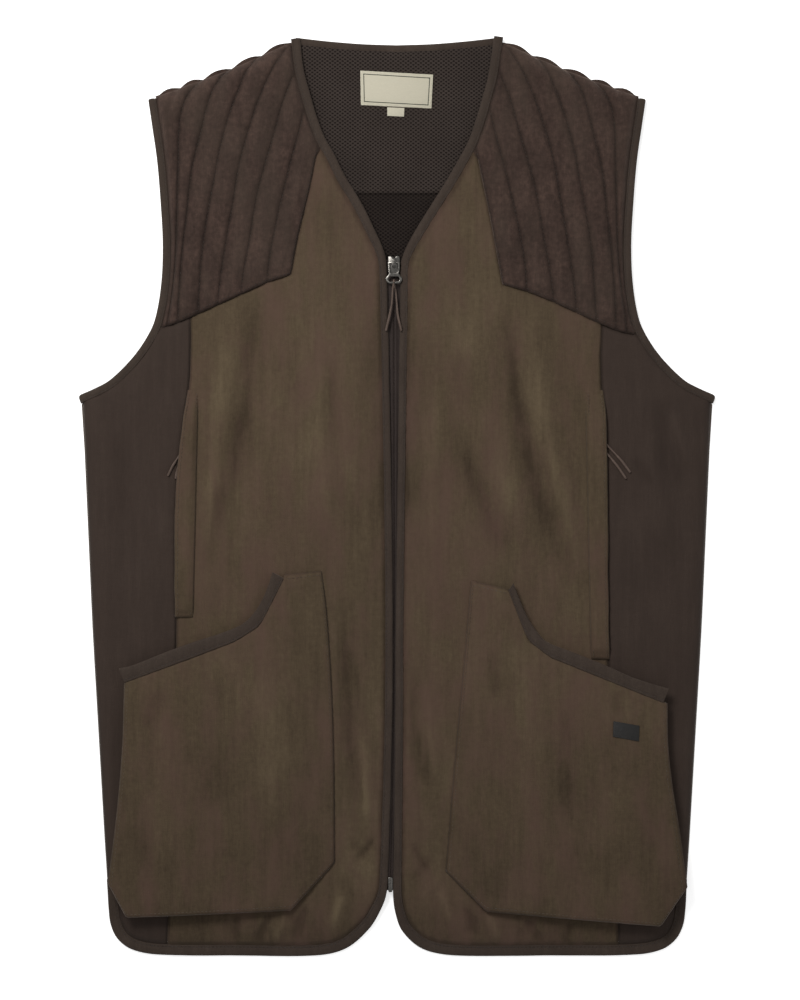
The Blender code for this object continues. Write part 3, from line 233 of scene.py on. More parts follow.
# Soft folds: rows of (depth, half width, [(out, up), ...]); the first ones are in the solids too
FOLDS = {
    "left": [
        (-2.6, 11, [(117, 180), (128, 118), (133, 66), (140, 14), (150, -70)]),
        (2.6, 13, [(140, 165), (149, 110), (155, 60), (160, 10), (166, -60)]),
        (1.6, 16, [(80, 190), (98, 120), (105, 50), (108, -20)]),
        (-1.6, 9, [(33, 90), (27, 20), (25, -50), (30, -90)]),
        (-2.4, 8, [(41, -80), (43, -164), (37, -217), (28, -290)]),
        (-1.6, 12, [(232, 70), (226, 0), (222, -80)]),
    ],
    "right": [
        (-2.6, 11, [(96, 185), (98.5, 135), (107, 83), (124, -3), (146, -82)]),
        (2.6, 13, [(118, 165), (121, 120), (130, 60), (146, 0), (160, -60)]),
        (-2, 10, [(46, 66), (63.5, 22.6), (85, -29.6), (95, -66)]),
        (2, 12, [(60, 90), (80, 30), (102, -20), (115, -70)]),
        (-2.2, 7, [(20, -150), (19, -195), (22, -238), (30, -290)]),
        (-2.2, 10, [(226, 90), (231, 60), (242, 25), (252, -10)]),
        (2, 9, [(219, 70), (223, 25), (232, -20), (240, -60)]),
    ],
}
CREASES = {
    "left": [
        (-1.5, 5, [(118, 176), (128, 120), (135, 70), (143, 15)]),
        (1, 5, [(121, 150), (133, 95), (141, 40), (152, -20)]),
        (-1.2, 4, [(150, 20), (158, -30), (168, -80)]), (-1, 5, [(60, 150), (52, 60), (47, -30)]),
        (0.9, 6, [(72, 120), (66, 40), (60, -40)]),
        (-1.3, 4, [(47, -75), (44, -164), (40, -217), (30, -285)]),
        (1.2, 3.5, [(34, -230), (27, -268), (22, -292)]), (-1, 3, [(44, -296), (30, -312), (16, -324)]),
        (0.9, 3, [(46, -308), (34, -322), (22, -338)]), (-0.8, 3, [(52, -330), (42, -345), (34, -356)]),
        (-1, 3.5, [(98, -362), (88, -372), (76, -378)]), (0.7, 3.5, [(118, -364), (108, -374), (98, -382)]),
        (-0.8, 3.5, [(150, -366), (146, -376), (140, -384)]), (-1, 4, [(245, 60), (238, 20), (236, -30)]),
        (0.8, 5, [(206, 60), (204, 0), (206, -60)]),
    ],
    "right": [
        (-1.5, 5, [(94, 176), (100, 120), (108, 75), (120, 10), (140, -60)]),
        (1, 5, [(103, 150), (110, 95), (120, 45), (136, -20)]),
        (-1.2, 4.5, [(50, 62), (64, 22), (84, -28), (96, -62)]),
        (-1.1, 4, [(110, 95), (122, 40), (134, -5), (152, -58), (158, -100)]),
        (0.9, 6, [(36, 100), (32, 20), (34, -60)]), (-1.2, 4, [(14, -150), (17, -200), (27, -262)]),
        (1, 4, [(26, -160), (28, -210), (38, -262)]), (-0.9, 3, [(34, -310), (22, -326), (10, -338)]),
        (0.8, 3, [(44, -322), (32, -338), (20, -352)]), (-1, 3.5, [(72, -364), (64, -376), (60, -384)]),
        (-0.8, 3.5, [(120, -368), (112, -378), (104, -384)]),
        (-1.6, 5, [(228, 88), (232, 60), (240, 30), (251, 0)]), (-1.2, 4, [(206, 34), (212, 22), (222, 4)]),
        (1.1, 5, [(238, 80), (246, 50), (256, 20)]),
    ],
}
# Short wrinkles below the pockets, which reach the hem
HEM_WRINKLES = {
    "left": [
        (-1.7, 3.2, [(108, -360), (116, -376), (124, -391)]),
        (-1.9, 3.2, [(79, -354), (83, -368), (88, -386)]), (1.7, 4.2, [(46, -342), (52, -360), (59, -382)]),
        (-1.4, 3, [(17, -294), (27, -308), (39, -320)]), (1.2, 3.6, [(96, -364), (102, -376), (106, -390)]),
        (-1.2, 3.4, [(138, -362), (141, -376), (140, -391)]),
        (1.5, 4, [(33, -196), (28, -240), (25, -280)]),
    ],
    "right": [
        (-1.7, 3.2, [(60, -354), (64, -368), (70, -384)]),
        (-1.6, 3.2, [(111, -366), (119, -378), (129, -391)]),
        (1.4, 3.8, [(79, -360), (84, -374), (89, -388)]),
        (-1.1, 3, [(151, -368), (149, -380), (146, -391)]), (1.3, 4, [(36, -336), (42, -354), (50, -378)]),
        (-1.2, 3, [(12, -300), (20, -316), (30, -330)]),
    ],
}
# Painted highlights on the folds' ridges and painted shade in their troughs, lighter where the strength
# is over 0: rows of (strength, half width, [(out, up), ...])
FOLD_LIGHT_AND_SHADE = {
    "left": [
        (0.55, 9, [(140, 165), (150, 100), (158, 40), (166, -30), (172, -90)]),
        (-0.45, 9, [(118, 172), (132, 84), (141, 31), (154, -4), (167, -64)]),
        (0.25, 30, [(60, 180), (70, 80), (80, -30)]), (-0.35, 10, [(44, -99), (41, -216), (28, -282)]),
        (0.45, 6, [(27, -262), (25, -280)]), (-0.25, 9, [(22, 190), (19, 60), (18, -90)]),
        (0.30, 8, [(30, -300), (24, -330), (34, -352)]),
    ],
    "right": [
        (-0.45, 9, [(94, 170), (103, 92), (113, 40), (124, -4), (144, -56), (153, -101)]),
        (0.40, 10, [(112, 160), (118, 100), (130, 40), (146, -10), (160, -60)]),
        (-0.45, 8, [(46, 66), (64, 22), (85, -30), (94, -64)]),
        (0.30, 12, [(70, 90), (88, 30), (108, -30)]), (0.25, 26, [(50, 190), (56, 110)]),
        (-0.35, 8, [(16, -195), (28, -260)]), (-0.25, 9, [(14, 190), (14, 60), (14, -90)]),
    ],
}

# Cargo pockets. Rows of (across, out, up): across runs from 0 at the side to 1 at the middle
POCKET_MOUTH = {
    "left": [
        (0, 236, -160.5), (0.3, 183, -141), (0.5, 141, -125), (0.6, 119.2, -111.4),
        (0.7, 97.4, -67.9), (1, 65.5, -65),
    ],
    "right": [
        (0, 234, -179.2), (0.3, 175.7, -155.7), (0.5, 133, -138.5), (0.6, 114, -124),
        (0.7, 97.4, -80.9), (1, 64.5, -73.5),
    ],
}
POCKET_BOTTOM = {
    "left": [(0, 250, -334.5), (0.1, 234, -364.5), (0.8, 92, -359.5), (1, 54, -318.5)],
    "right": [(0, 251, -338), (0.1, 228, -372), (0.8, 77.5, -360.5), (1, 42, -326)],
}
# Rows of (out, up), from the mouth down
POCKET_OUTER = {
    "left": [(236, -160.5), (237.5, -215), (241, -260.5), (245.5, -301.5), (250, -334.5)],
    "right": [(234, -179.2), (234.5, -215), (238, -249), (244.5, -290), (251, -338)],
}
POCKET_INNER = {
    "left": [(65.5, -65), (61, -101), (56.5, -169.5), (54.5, -237.5), (54, -318.5)],
    "right": [(64.5, -73.5), (62, -101), (57, -158), (51.5, -215), (42, -326)],
}
# The binding of the mouth, rows of (out, up) from the side to the top of the pocket
MOUTH_UPPER = {
    "left": [
        (240.5, -149), (229, -146.5), (198.8, -134.5), (175.7, -126.2), (148.8, -117.5),
        (133.1, -110.4), (123.5, -100.9), (116.6, -89.6), (111.4, -77.4), (107.9, -66),
    ],
    "right": [
        (235, -166.5), (224, -163.5), (202.7, -156.6), (180.1, -146.3), (150.5, -134.5),
        (129.6, -126.2), (120, -116), (111.8, -102.7), (105.3, -87.3), (100.9, -75.5),
    ],
}
POCKET_SEAM_LIFT = CLOTH + 0.6
POCKET_DEPTH = 11.5
POCKET_BULGE = 1.5
GUSSET_WALL = 1.4
GUSSET_FOLD = 4.0
GUSSET_INSET = 3.0
# Rows of (depth, half width, [(out, up), ...]) on the pocket faces
POCKET_CREASES = {
    "left": [
        (-1.2, 5, [(200, -164), (210, -185), (218, -206)]),
        (0.8, 6, [(190, -170), (198, -195), (208, -225)]),
        (-0.9, 9, [(150, -150), (152, -210), (160, -280)]),
        (0.9, 12, [(112, -140), (112, -220), (116, -300)]), (-0.7, 6, [(92, -90), (84, -130), (80, -190)]),
        (-0.8, 7, [(226, -250), (222, -290), (216, -330)]),
    ],
    "right": [
        (-1.3, 4.5, [(189, -168), (192, -180), (195, -194)]),
        (0.9, 4.5, [(196, -170), (200, -184), (204, -198)]), (-1, 6, [(81, -130), (84, -155), (86, -182)]),
        (0.8, 9, [(110, -160), (114, -220), (112, -290)]), (-1, 9, [(148, -170), (146, -230), (150, -300)]),
        (-0.9, 6, [(214, -230), (220, -280), (222, -330)]),
    ],
}
# Painted highlights and painted shade along the pocket faces' creases: rows of (strength, half width, [(out,
# up), ...])
POCKET_FOLD_LIGHT_AND_SHADE = {
    "left": [
        (0.35, 12, [(112, -150), (104, -220), (100, -300)]), (-0.25, 14, [(170, -170), (180, -250)]),
        (-0.25, 10, [(70, -120), (66, -200)]), (0.25, 14, [(205, -240), (200, -320)]),
    ],
    "right": [
        (0.30, 12, [(104, -120), (110, -200)]), (-0.25, 10, [(150, -160), (144, -230), (150, -300)]),
        (0.22, 18, [(190, -230), (180, -320)]), (-0.25, 8, [(82, -130), (86, -180)]),
    ],
}

# The main zip. Rows of (x, y) down its middle line
ZIP_LINE = [(-2.7, 206), (-2.75, 150), (-2.5, 0), (-2.3, -101), (-3.2, -220), (-5.9, -343)]
ZIP_TAPE_WIDTH = 12.0
ZIP_TAPE_TOP = 5.2
SLIDER_X = -2.7
PIVOT_Z = 9.8
TAB_RING_BAR_Y = 185.3
LACE = 1.8
LACE_LOOP_RADIUS = 2.25
# Rows of (x, y, z) along each lace end
MAIN_LACES = {
    "pull_lace_left": [
        (-2.9, 184.6, PIVOT_Z + LACE_LOOP_RADIUS), (-3.8, 178, 11.5), (-4.4, 168, 10.7),
        (-6.3, 157.5, 10.1), (-8.2, 149.5, 9.8), (-9.6, 143.5, 9.7),
    ],
    "pull_lace_right": [
        (-2.5, 184.6, PIVOT_Z - LACE_LOOP_RADIUS), (-1.2, 178, 7.6), (-0.2, 168, 8.4),
        (0.6, 157.5, 9.2), (2.4, 149.5, 9.7), (3.7, 143.5, 9.8),
    ],
}
# Rows of (out, up, z) along each lace end of the side zips
SIDE_LACES = {
    "left": [
        [(184.4, 45, 9.3), (186.6, 39.5, 9.3), (190.4, 33, 9.3), (195, 26, 9.3), (199, 17.5, 9.3)],
        [(181.6, 45, 9.3), (183.6, 38, 9.3), (187.4, 30.5, 9.3), (190.6, 23, 9.3), (192.4, 15, 9.3)],
    ],
    "right": [
        [(178, 49, 9.3), (182.6, 44, 9.3), (188.6, 37.6, 9.3), (195.5, 30, 9.3), (202.7, 20.5, 9.3)],
        [(175, 49, 9.3), (178.6, 41.6, 9.3), (185, 33.8, 9.3), (192, 25.2, 9.3), (199, 15, 9.3)],
    ],
}
# Rows of (x, y), the corners of the neck label
NECK_LABEL = [(-32, 370.5), (31.5, 367), (30, 337.5), (-31.5, 340.5)]

# Rows of (share of the width from the outer edge, share of the thickness) round a bound edge
BINDING_SECTION = [
    (0, 0), (0.03, 0.24), (0.12, 0.42), (0.30, 0.50), (0.55, 0.50), (0.72, 0.44), (0.80, 0.34),
    (0.87, 0.42), (0.95, 0.40), (1, 0.22), (1, -0.40), (0.80, -0.50), (0.20, -0.50), (0.04, -0.30),
]
BINDING_STITCH = 0.80


def smooth(rows: Rows, step: float = 9.0) -> Array:
    """A smooth curve through the rows.

    Args:
        rows: Points, with any extra columns after the first two.
        step: The spacing of the samples, about.

    Returns:
        The samples, one row each, with the extra columns carried along.
    """
    points = np.array(rows, float)
    lengths = np.linalg.norm(np.diff(points[:, :2], axis=0), axis=1)
    slopes = []
    for i in range(len(points)):
        before, after = max(i - 1, 0), min(i + 1, len(points) - 1)
        slopes.append((points[after] - points[before]) / lengths[before:after].sum())
    curve = [points[0]]
    for i, length in enumerate(lengths):
        count = max(1, round(length / step))
        for k in range(1, count + 1):
            t = k / count
            square, cube = t * t, t * t * t
            curve.append(
                (2 * cube - 3 * square + 1) * points[i] + (cube - 2 * square + t) * length * slopes[i]
                + (3 * square - 2 * cube) * points[i + 1] + (cube - square) * length * slopes[i + 1]
            )
    return np.array(curve)


def travelled(line: Array) -> Array:
    """The length along a line at each of its points."""
    return np.concatenate([[0.0], np.cumsum(np.linalg.norm(np.diff(line, axis=0), axis=1))])


def directions(line: Array) -> Array:
    """The unit direction of a line at each of its points."""
    step = np.vstack([line[1:], line[-1:]]) - np.vstack([line[:1], line[:-1]])
    return step / np.linalg.norm(step, axis=1, keepdims=True)


def along(line: Array, start: float = 0.0, end: float = 1.0) -> Edge:
    """A function from a share of the stretch between two shares of the line to its point.

    Args:
        line: The line's points.
        start: The share of its length where the stretch starts.
        end: The share where it ends.

    Returns:
        The function.
    """
    total = travelled(line)

    def point(share: Array) -> Array:
        """The points of the line at these shares."""
        wanted = (start + (end - start) * np.clip(share, 0, 1)) * total[-1]
        return np.stack([np.interp(wanted, total, line[:, k]) for k in range(line.shape[1])], axis=-1)

    return point


def joined(parts: Sequence[Edge], bends: Sequence[float]) -> Edge:
    """One edge made of parts that follow each other.

    Args:
        parts: The parts.
        bends: The shares where each part but the first starts.

    Returns:
        The function from a share of the edge to its point.
    """
    def point(share: Array) -> Array:
        """The points of the edge at these shares.

        Args:
            share: Shares of the edge.

        Returns:
            The points.
        """
        spots = parts[0](share / bends[0])
        for part, start, end in zip(parts[1:], bends, [*bends[1:], 1.0]):
            spots = np.where((share > start)[:, None], part((share - start) / (end - start)), spots)
        return spots

    return point


def across(rows: Rows) -> Edge:
    """A function from the rows' first column to the rest, straight between rows.

    Args:
        rows: Rows of a share and its point.

    Returns:
        The function.
    """
    table = np.array(rows, float)

    def point(share: Array) -> Array:
        """The points at these shares."""
        return np.stack([np.interp(share, table[:, 0], table[:, k]) for k in (1, 2)], axis=-1)

    return point


def inward(line: Array, distance: float) -> Array:
    """The line moved to its left by the distance, and by its width column if it has one.

    Args:
        line: The line's points, with any extra columns.
        distance: How far it moves.

    Returns:
        The moved line.
    """
    direction = directions(line[:, :2])
    width = distance + (line[:, 2] if line.shape[1] > 2 else 0.0)
    moved = line.copy()
    moved[:, 0] -= direction[:, 1] * width
    moved[:, 1] += direction[:, 0] * width
    return moved


@dataclass(frozen=True)
class Near:
    """Where some spots lie beside a line."""

    distance: Array
    inside: Array
    point: Array
    run: Array


def nearest(line: Array, spots: Array) -> Near:
    """The nearest point of a line to each spot.

    Args:
        line: The line's points, with any extra columns.
        spots: Rows of (out, up).

    Returns:
        The distance, the distance counted as negative just to the line's right, the nearest
        points with their extra columns, and how far along the line they lie.
    """
    a, b = line[:-1], line[1:]
    run = b[:, :2] - a[:, :2]
    squared = (run ** 2).sum(1) + 1e-12
    total = travelled(line[:, :2])
    found = []
    for part in np.array_split(spots, max(1, len(spots) // 6000 + 1)):
        if not len(part):
            continue
        gap = part[:, None, :2] - a[None, :, :2]
        t = np.clip((gap * run).sum(2) / squared, 0, 1)
        off = gap - t[..., None] * run
        apart = (off ** 2).sum(2)
        best = apart.argmin(1)
        rows = np.arange(len(part))
        share = t[rows, best]
        turn = run[best, 0] * gap[rows, best, 1] - run[best, 1] * gap[rows, best, 0]
        distance = np.sqrt(apart[rows, best])
        sign = np.where((turn < 0) & (distance < 6.0), -1.0, 1.0)
        point = a[best] + (b[best] - a[best]) * share[:, None]
        found.append((distance, distance * sign, point, total[best] + share * np.sqrt(squared[best])))
    return Near(*[np.concatenate(column) for column in zip(*found)])


def cut_share(line: Array, out: float, up: float) -> float:
    """The share of the line's length at its point nearest to a place."""
    flat = line[:, :2]
    return float(nearest(flat, np.array([[out, up]])).run[0] / travelled(flat)[-1])


def between(top: Edge, bottom: Edge, outer: Edge, inner: Edge) -> Place:
    """A place function over four edges: u from outer to inner, v from top to bottom.

    Args:
        top: The top edge, from outer to inner.
        bottom: The bottom edge, from outer to inner.
        outer: The outer edge, from top to bottom.
        inner: The inner edge, from top to bottom.

    Returns:
        The place function.
    """
    zero, one = np.zeros(1), np.ones(1)
    corners = [edge(share)[0] for edge, share in ((top, zero), (top, one), (bottom, zero), (bottom, one))]

    def place(u: Array, v: Array) -> Array:
        """The (out, up) of each pair of shares.

        Args:
            u: Shares across.
            v: Shares down.

        Returns:
            Rows of (out, up).
        """
        across_u, down_v = u[:, None], v[:, None]
        ruled = top(u) * (1 - down_v) + bottom(u) * down_v
        ruled = ruled + outer(v) * (1 - across_u) + inner(v) * across_u
        upper = corners[0] * (1 - across_u) + corners[1] * across_u
        lower = corners[2] * (1 - across_u) + corners[3] * across_u
        return ruled - upper * (1 - down_v) - lower * down_v

    return place


def ease(t: Array) -> Array:
    """A smooth step from 0 to 1."""
    t = np.clip(t, 0, 1)
    return t * t * (3 - 2 * t)


def rise(distance: Array, low: Array | float, high: Array | float, reach: Array | float) -> Array:
    """The height of a rounded edge that climbs from low to high over the reach."""
    t = np.clip(distance / reach, 0, 1)
    return low + (high - low) * np.sqrt(1 - (1 - t) ** 2)


def drift(spots: Array, size: float, seed: float, stretch: float = 1.0) -> Array:
    """Smooth uneven relief from about -1 to 1, with features of the size, longer along Y."""
    tall = size * stretch
    return np.array([noise.noise(Vector((x / size, y / tall, seed))) for x, y in spots[:, :2]])


def seam_shade(near: Near, width: float) -> Array:
    """Painted shade beside a sewn line, 1 on it and 0 away; also how far cloth sinks into a seam."""
    return np.exp(-((near.distance / width) ** 2))


def relief(rows: Sequence[tuple[float, float, Rows]], spots: Array) -> Array:
    """The sum of soft troughs and ridges, each with a depth, a half width and its line.

    Args:
        rows: The depth, half width and points of each.
        spots: Rows of (out, up).

    Returns:
        The relief at each spot.
    """
    total = np.zeros(len(spots))
    for depth, half_width, points in rows:
        line = np.array(points, float)
        near = nearest(line, spots)
        share = (line[0, 1] - near.point[:, 1]) / (line[0, 1] - line[-1, 1])
        fade = ease(np.minimum(share, 1 - share) / 0.3)
        total += depth * fade * np.exp(-((near.distance / half_width) ** 2))
    return total


@dataclass(frozen=True)
class Uneven:
    """Smooth uneven relief: how high it is, how large, and how much longer along Y."""

    amount: float
    size: float
    stretch: float = 1.0

    def over(self, spots: Array, seed: float) -> Array:
        """The relief at each spot."""
        return self.amount * drift(spots, self.size, seed, self.stretch)


@dataclass(frozen=True)
class Gathers:
    """Small gathers beside a sewn line: how deep, how far apart, and how far they reach."""

    depth: float
    pitch: float
    reach: float

    def beside(self, near: Near, seed: float) -> Array:
        """The gathers' height, uneven along the line and fading away from it.

        Args:
            near: Where the spots lie beside the line.
            seed: A number that keeps the relief unlike others.

        Returns:
            The height at each spot.
        """
        steps = np.stack([near.run, np.full(len(near.run), seed)], axis=-1)
        wander = 2.2 * drift(steps, 3.2 * self.pitch, seed)
        wave = np.sin(near.run / self.pitch * 2 * math.pi + wander)
        strength = 0.6 + 0.6 * drift(steps, 5.0 * self.pitch, seed + 9.0)
        return self.depth * wave * strength * np.exp(-near.distance / self.reach)


ARMHOLE_LINE = smooth(ARMHOLE)
ARMHOLE_INNER = inward(ARMHOLE_LINE, ARMHOLE_BINDING_WIDTH)
ARMHOLE_TUCKED = inward(ARMHOLE_LINE, ARMHOLE_BINDING_WIDTH - TUCK)
SIDE_LINE = smooth(SIDE_EDGE, 30.0)
SHOULDER_LINE = smooth(SHOULDER)
UNDERARM = np.array([275.0, 85.0])
TIP = np.array(SHOULDER[-1])


def side_out(up: Array) -> Array:
    """How far out the side fold lies at a height."""
    return np.interp(up, SIDE_LINE[::-1, 1], SIDE_LINE[::-1, 0])


def hem_feet(side: Side) -> Array:
    """The lower end of each line of the patch, from the armhole inwards.

    Args:
        side: The side of the garment.

    Returns:
        Rows of (out, up).
    """
    hem = smooth(PATCH_HEM[side.value])
    outs = [PATCH_HEM[side.value][0][0] - PATCH_FOOT_INSET] + [rows[-1][0] for rows in CHANNELS]
    ups = np.interp(outs, hem[::-1, 0], hem[::-1, 1])
    return np.vstack([np.stack([outs, ups], axis=-1), hem[-1:]])


@dataclass
class Lie:
    """How one side of the front lies: its lines, and the height of its cloth anywhere."""

    side: Side
    fold_low: float = FOLD_LOW
    under_edge: float = 0.7
    fold_gain: float = 1.25
    crease_gain: float = 1.7
    broad: Uneven = Uneven(0.45, 34.0, 2.6)
    fine: Uneven = Uneven(0.3, 15.0, 2.0)
    streaks: Uneven = Uneven(0.7, 4.0, 8.0)
    edge_gathers: Gathers = Gathers(0.45, 13.0, 8.0)
    tuck_depth: float = 1.2
    tuck_reach: float = 1.6
    edge: Array = field(init=False)
    edge_inner: Array = field(init=False)
    edge_tucked: Array = field(init=False)
    seam: Array = field(init=False)
    patch_line: Array = field(init=False)
    pocket_ring: Array = field(init=False)

    def __post_init__(self) -> None:
        """Works out the lines from the tables."""
        name = self.side.value
        self.edge = smooth(FRONT_EDGE[name])
        self.edge_inner = inward(self.edge, 0.0)
        self.edge_tucked = inward(self.edge, -TUCK)
        self.seam = smooth(SIDE_SEAM[name], 20.0)
        self.patch_line = np.vstack([smooth(PATCH_HEM[name]), smooth(PATCH_INNER[name])[::-1]])
        place = self.pocket_place()
        steps = np.linspace(0, 1, 41)
        zero, one = np.zeros(41), np.ones(41)
        self.pocket_ring = np.vstack([
            place(steps, zero), place(one, steps), place(steps[::-1], one), place(zero, steps[::-1]),
        ])

    def pocket_place(self) -> Place:
        """The place function of the pocket's face.

        Returns:
            The place function.
        """
        name = self.side.value
        return between(
            across(POCKET_MOUTH[name]),
            across(POCKET_BOTTOM[name]),
            along(smooth(POCKET_OUTER[name])),
            along(smooth(POCKET_INNER[name])),
        )

    def in_pocket(self, spots: Array) -> Array:
        """Whether each spot lies inside the pocket's outline.

        Args:
            spots: Rows of (out, up).

        Returns:
            True for the spots inside.
        """
        found = np.zeros(len(spots), bool)
        for a, b in zip(self.pocket_ring, np.roll(self.pocket_ring, -1, axis=0)):
            if a[1] == b[1]:
                continue
            crosses = (a[1] > spots[:, 1]) != (b[1] > spots[:, 1])
            found ^= crosses & (spots[:, 0] < a[0] + (b[0] - a[0]) * (spots[:, 1] - a[1]) / (b[1] - a[1]))
        return found

    def fold_share(self, spots: Array) -> Array:
        """How much of a fold shows: none under the pocket and the welt.

        Args:
            spots: Rows of (out, up).

        Returns:
            Shares from 0 to 1.
        """
        share = ease(nearest(self.pocket_ring, spots).distance / POCKET_FADE)
        share[self.in_pocket(spots)] = 0.0
        top, bottom, stitched, _ = WELT[self.side.value]
        out, up = spots[:, 0], spots[:, 1]
        beside = np.maximum.reduce(
            [stitched - 2.0 - out, out - stitched - WELT_SPAN, up - top - 2.0, bottom - 2.0 - up]
        )
        return share * ease(beside / WELT_FADE)

    def height(self, spots: Array, uneven: bool = True) -> Array:
        """The height of the cloth's outer face at each (out, up).

        Args:
            spots: Rows of (out, up).
            uneven: Whether creases and small relief are added to the broad folds.

        Returns:
            The height at each spot.
        """
        name, seed = self.side.value, self.side.seed
        to_side = side_out(spots[:, 1]) - spots[:, 0]
        to_shoulder = nearest(SHOULDER_LINE[::-1], spots).inside
        to_armhole = nearest(ARMHOLE_INNER, spots).inside
        edge = nearest(self.edge_inner, spots)
        low = edge.point[:, 3] + self.under_edge
        height = np.minimum.reduce([
            rise(to_side, self.fold_low, FRONT_TOP, FOLD_REACH),
            rise(to_shoulder, self.fold_low, FRONT_TOP, FOLD_REACH),
            rise(to_armhole, FRONT_BINDING_MIDDLE + self.under_edge, FRONT_TOP, ARMHOLE_FALL),
            rise(edge.inside, low, FRONT_TOP, 10.0 + 4.0 * (FRONT_TOP - low)),
        ])
        clear = ease(np.minimum.reduce([
            to_side / FADE_TO_SIDE, to_shoulder / FADE_TO_SHOULDER, to_armhole / FADE_TO_ARMHOLE,
            edge.inside / FADE_TO_EDGE,
        ]))
        share = self.fold_share(spots)
        folds = self.fold_gain * relief(FOLDS[name], spots) * share * clear
        if uneven:
            creases = self.crease_gain * relief(CREASES[name], spots)
            folds += creases * np.maximum(share, 0.2) * np.maximum(clear, 0.35)
            soft = self.broad.over(spots, seed) + self.fine.over(spots, seed + 5)
            folds += soft * (0.3 + 0.7 * share) * np.maximum(clear, 0.2)
            folds += self.edge_gathers.beside(edge, seed) + relief(HEM_WRINKLES[name], spots)
        height = height + np.where(folds < 0, DEEPEST_FOLD * np.tanh(folds / DEEPEST_FOLD), folds)
        covered = self.under_edge - np.minimum(edge.inside, to_armhole)
        under = self.tuck_depth * ease(covered / self.tuck_reach)
        return np.maximum(height - under, np.minimum(height, CLOTH + 0.1))

    def nap_and_painted_light(self, spots: Array) -> Array:
        """Painted light and shade at each spot, lighter over 0 and darker under it.

        Args:
            spots: Rows of (out, up).

        Returns:
            The painted light and shade at each spot.
        """
        share = 0.3 + 0.7 * self.fold_share(spots)
        streaks = 0.75 + self.streaks.over(spots, self.side.seed + 50.0)
        # Painted highlights on the folds' ridges and painted shade in their troughs, creases and hem
        # wrinkles.
        tone_shift = relief(FOLD_LIGHT_AND_SHADE[self.side.value], spots) * share * streaks
        tone_shift += 0.34 * relief(HEM_WRINKLES[self.side.value], spots)
        tone_shift += 0.16 * relief(CREASES[self.side.value], spots) * share
        to_side = side_out(spots[:, 1]) - spots[:, 0]
        # Painted shade beside the front edge's binding, the side seam and the patch's edge.
        shaded = seam_shade(nearest(self.edge_inner, spots), 2.4)
        shaded += seam_shade(nearest(self.seam, spots), 1.0)
        shaded += 0.6 * seam_shade(nearest(self.patch_line, spots), 1.4)
        # Painted shade, darker towards the hem and where the cloth rolls down at the side fold.
        low = 0.3 * ease((-335.0 - spots[:, 1]) / 50.0)
        return tone_shift - low - 0.7 * shaded - 0.9 * np.exp(-((to_side / 3.0) ** 2))


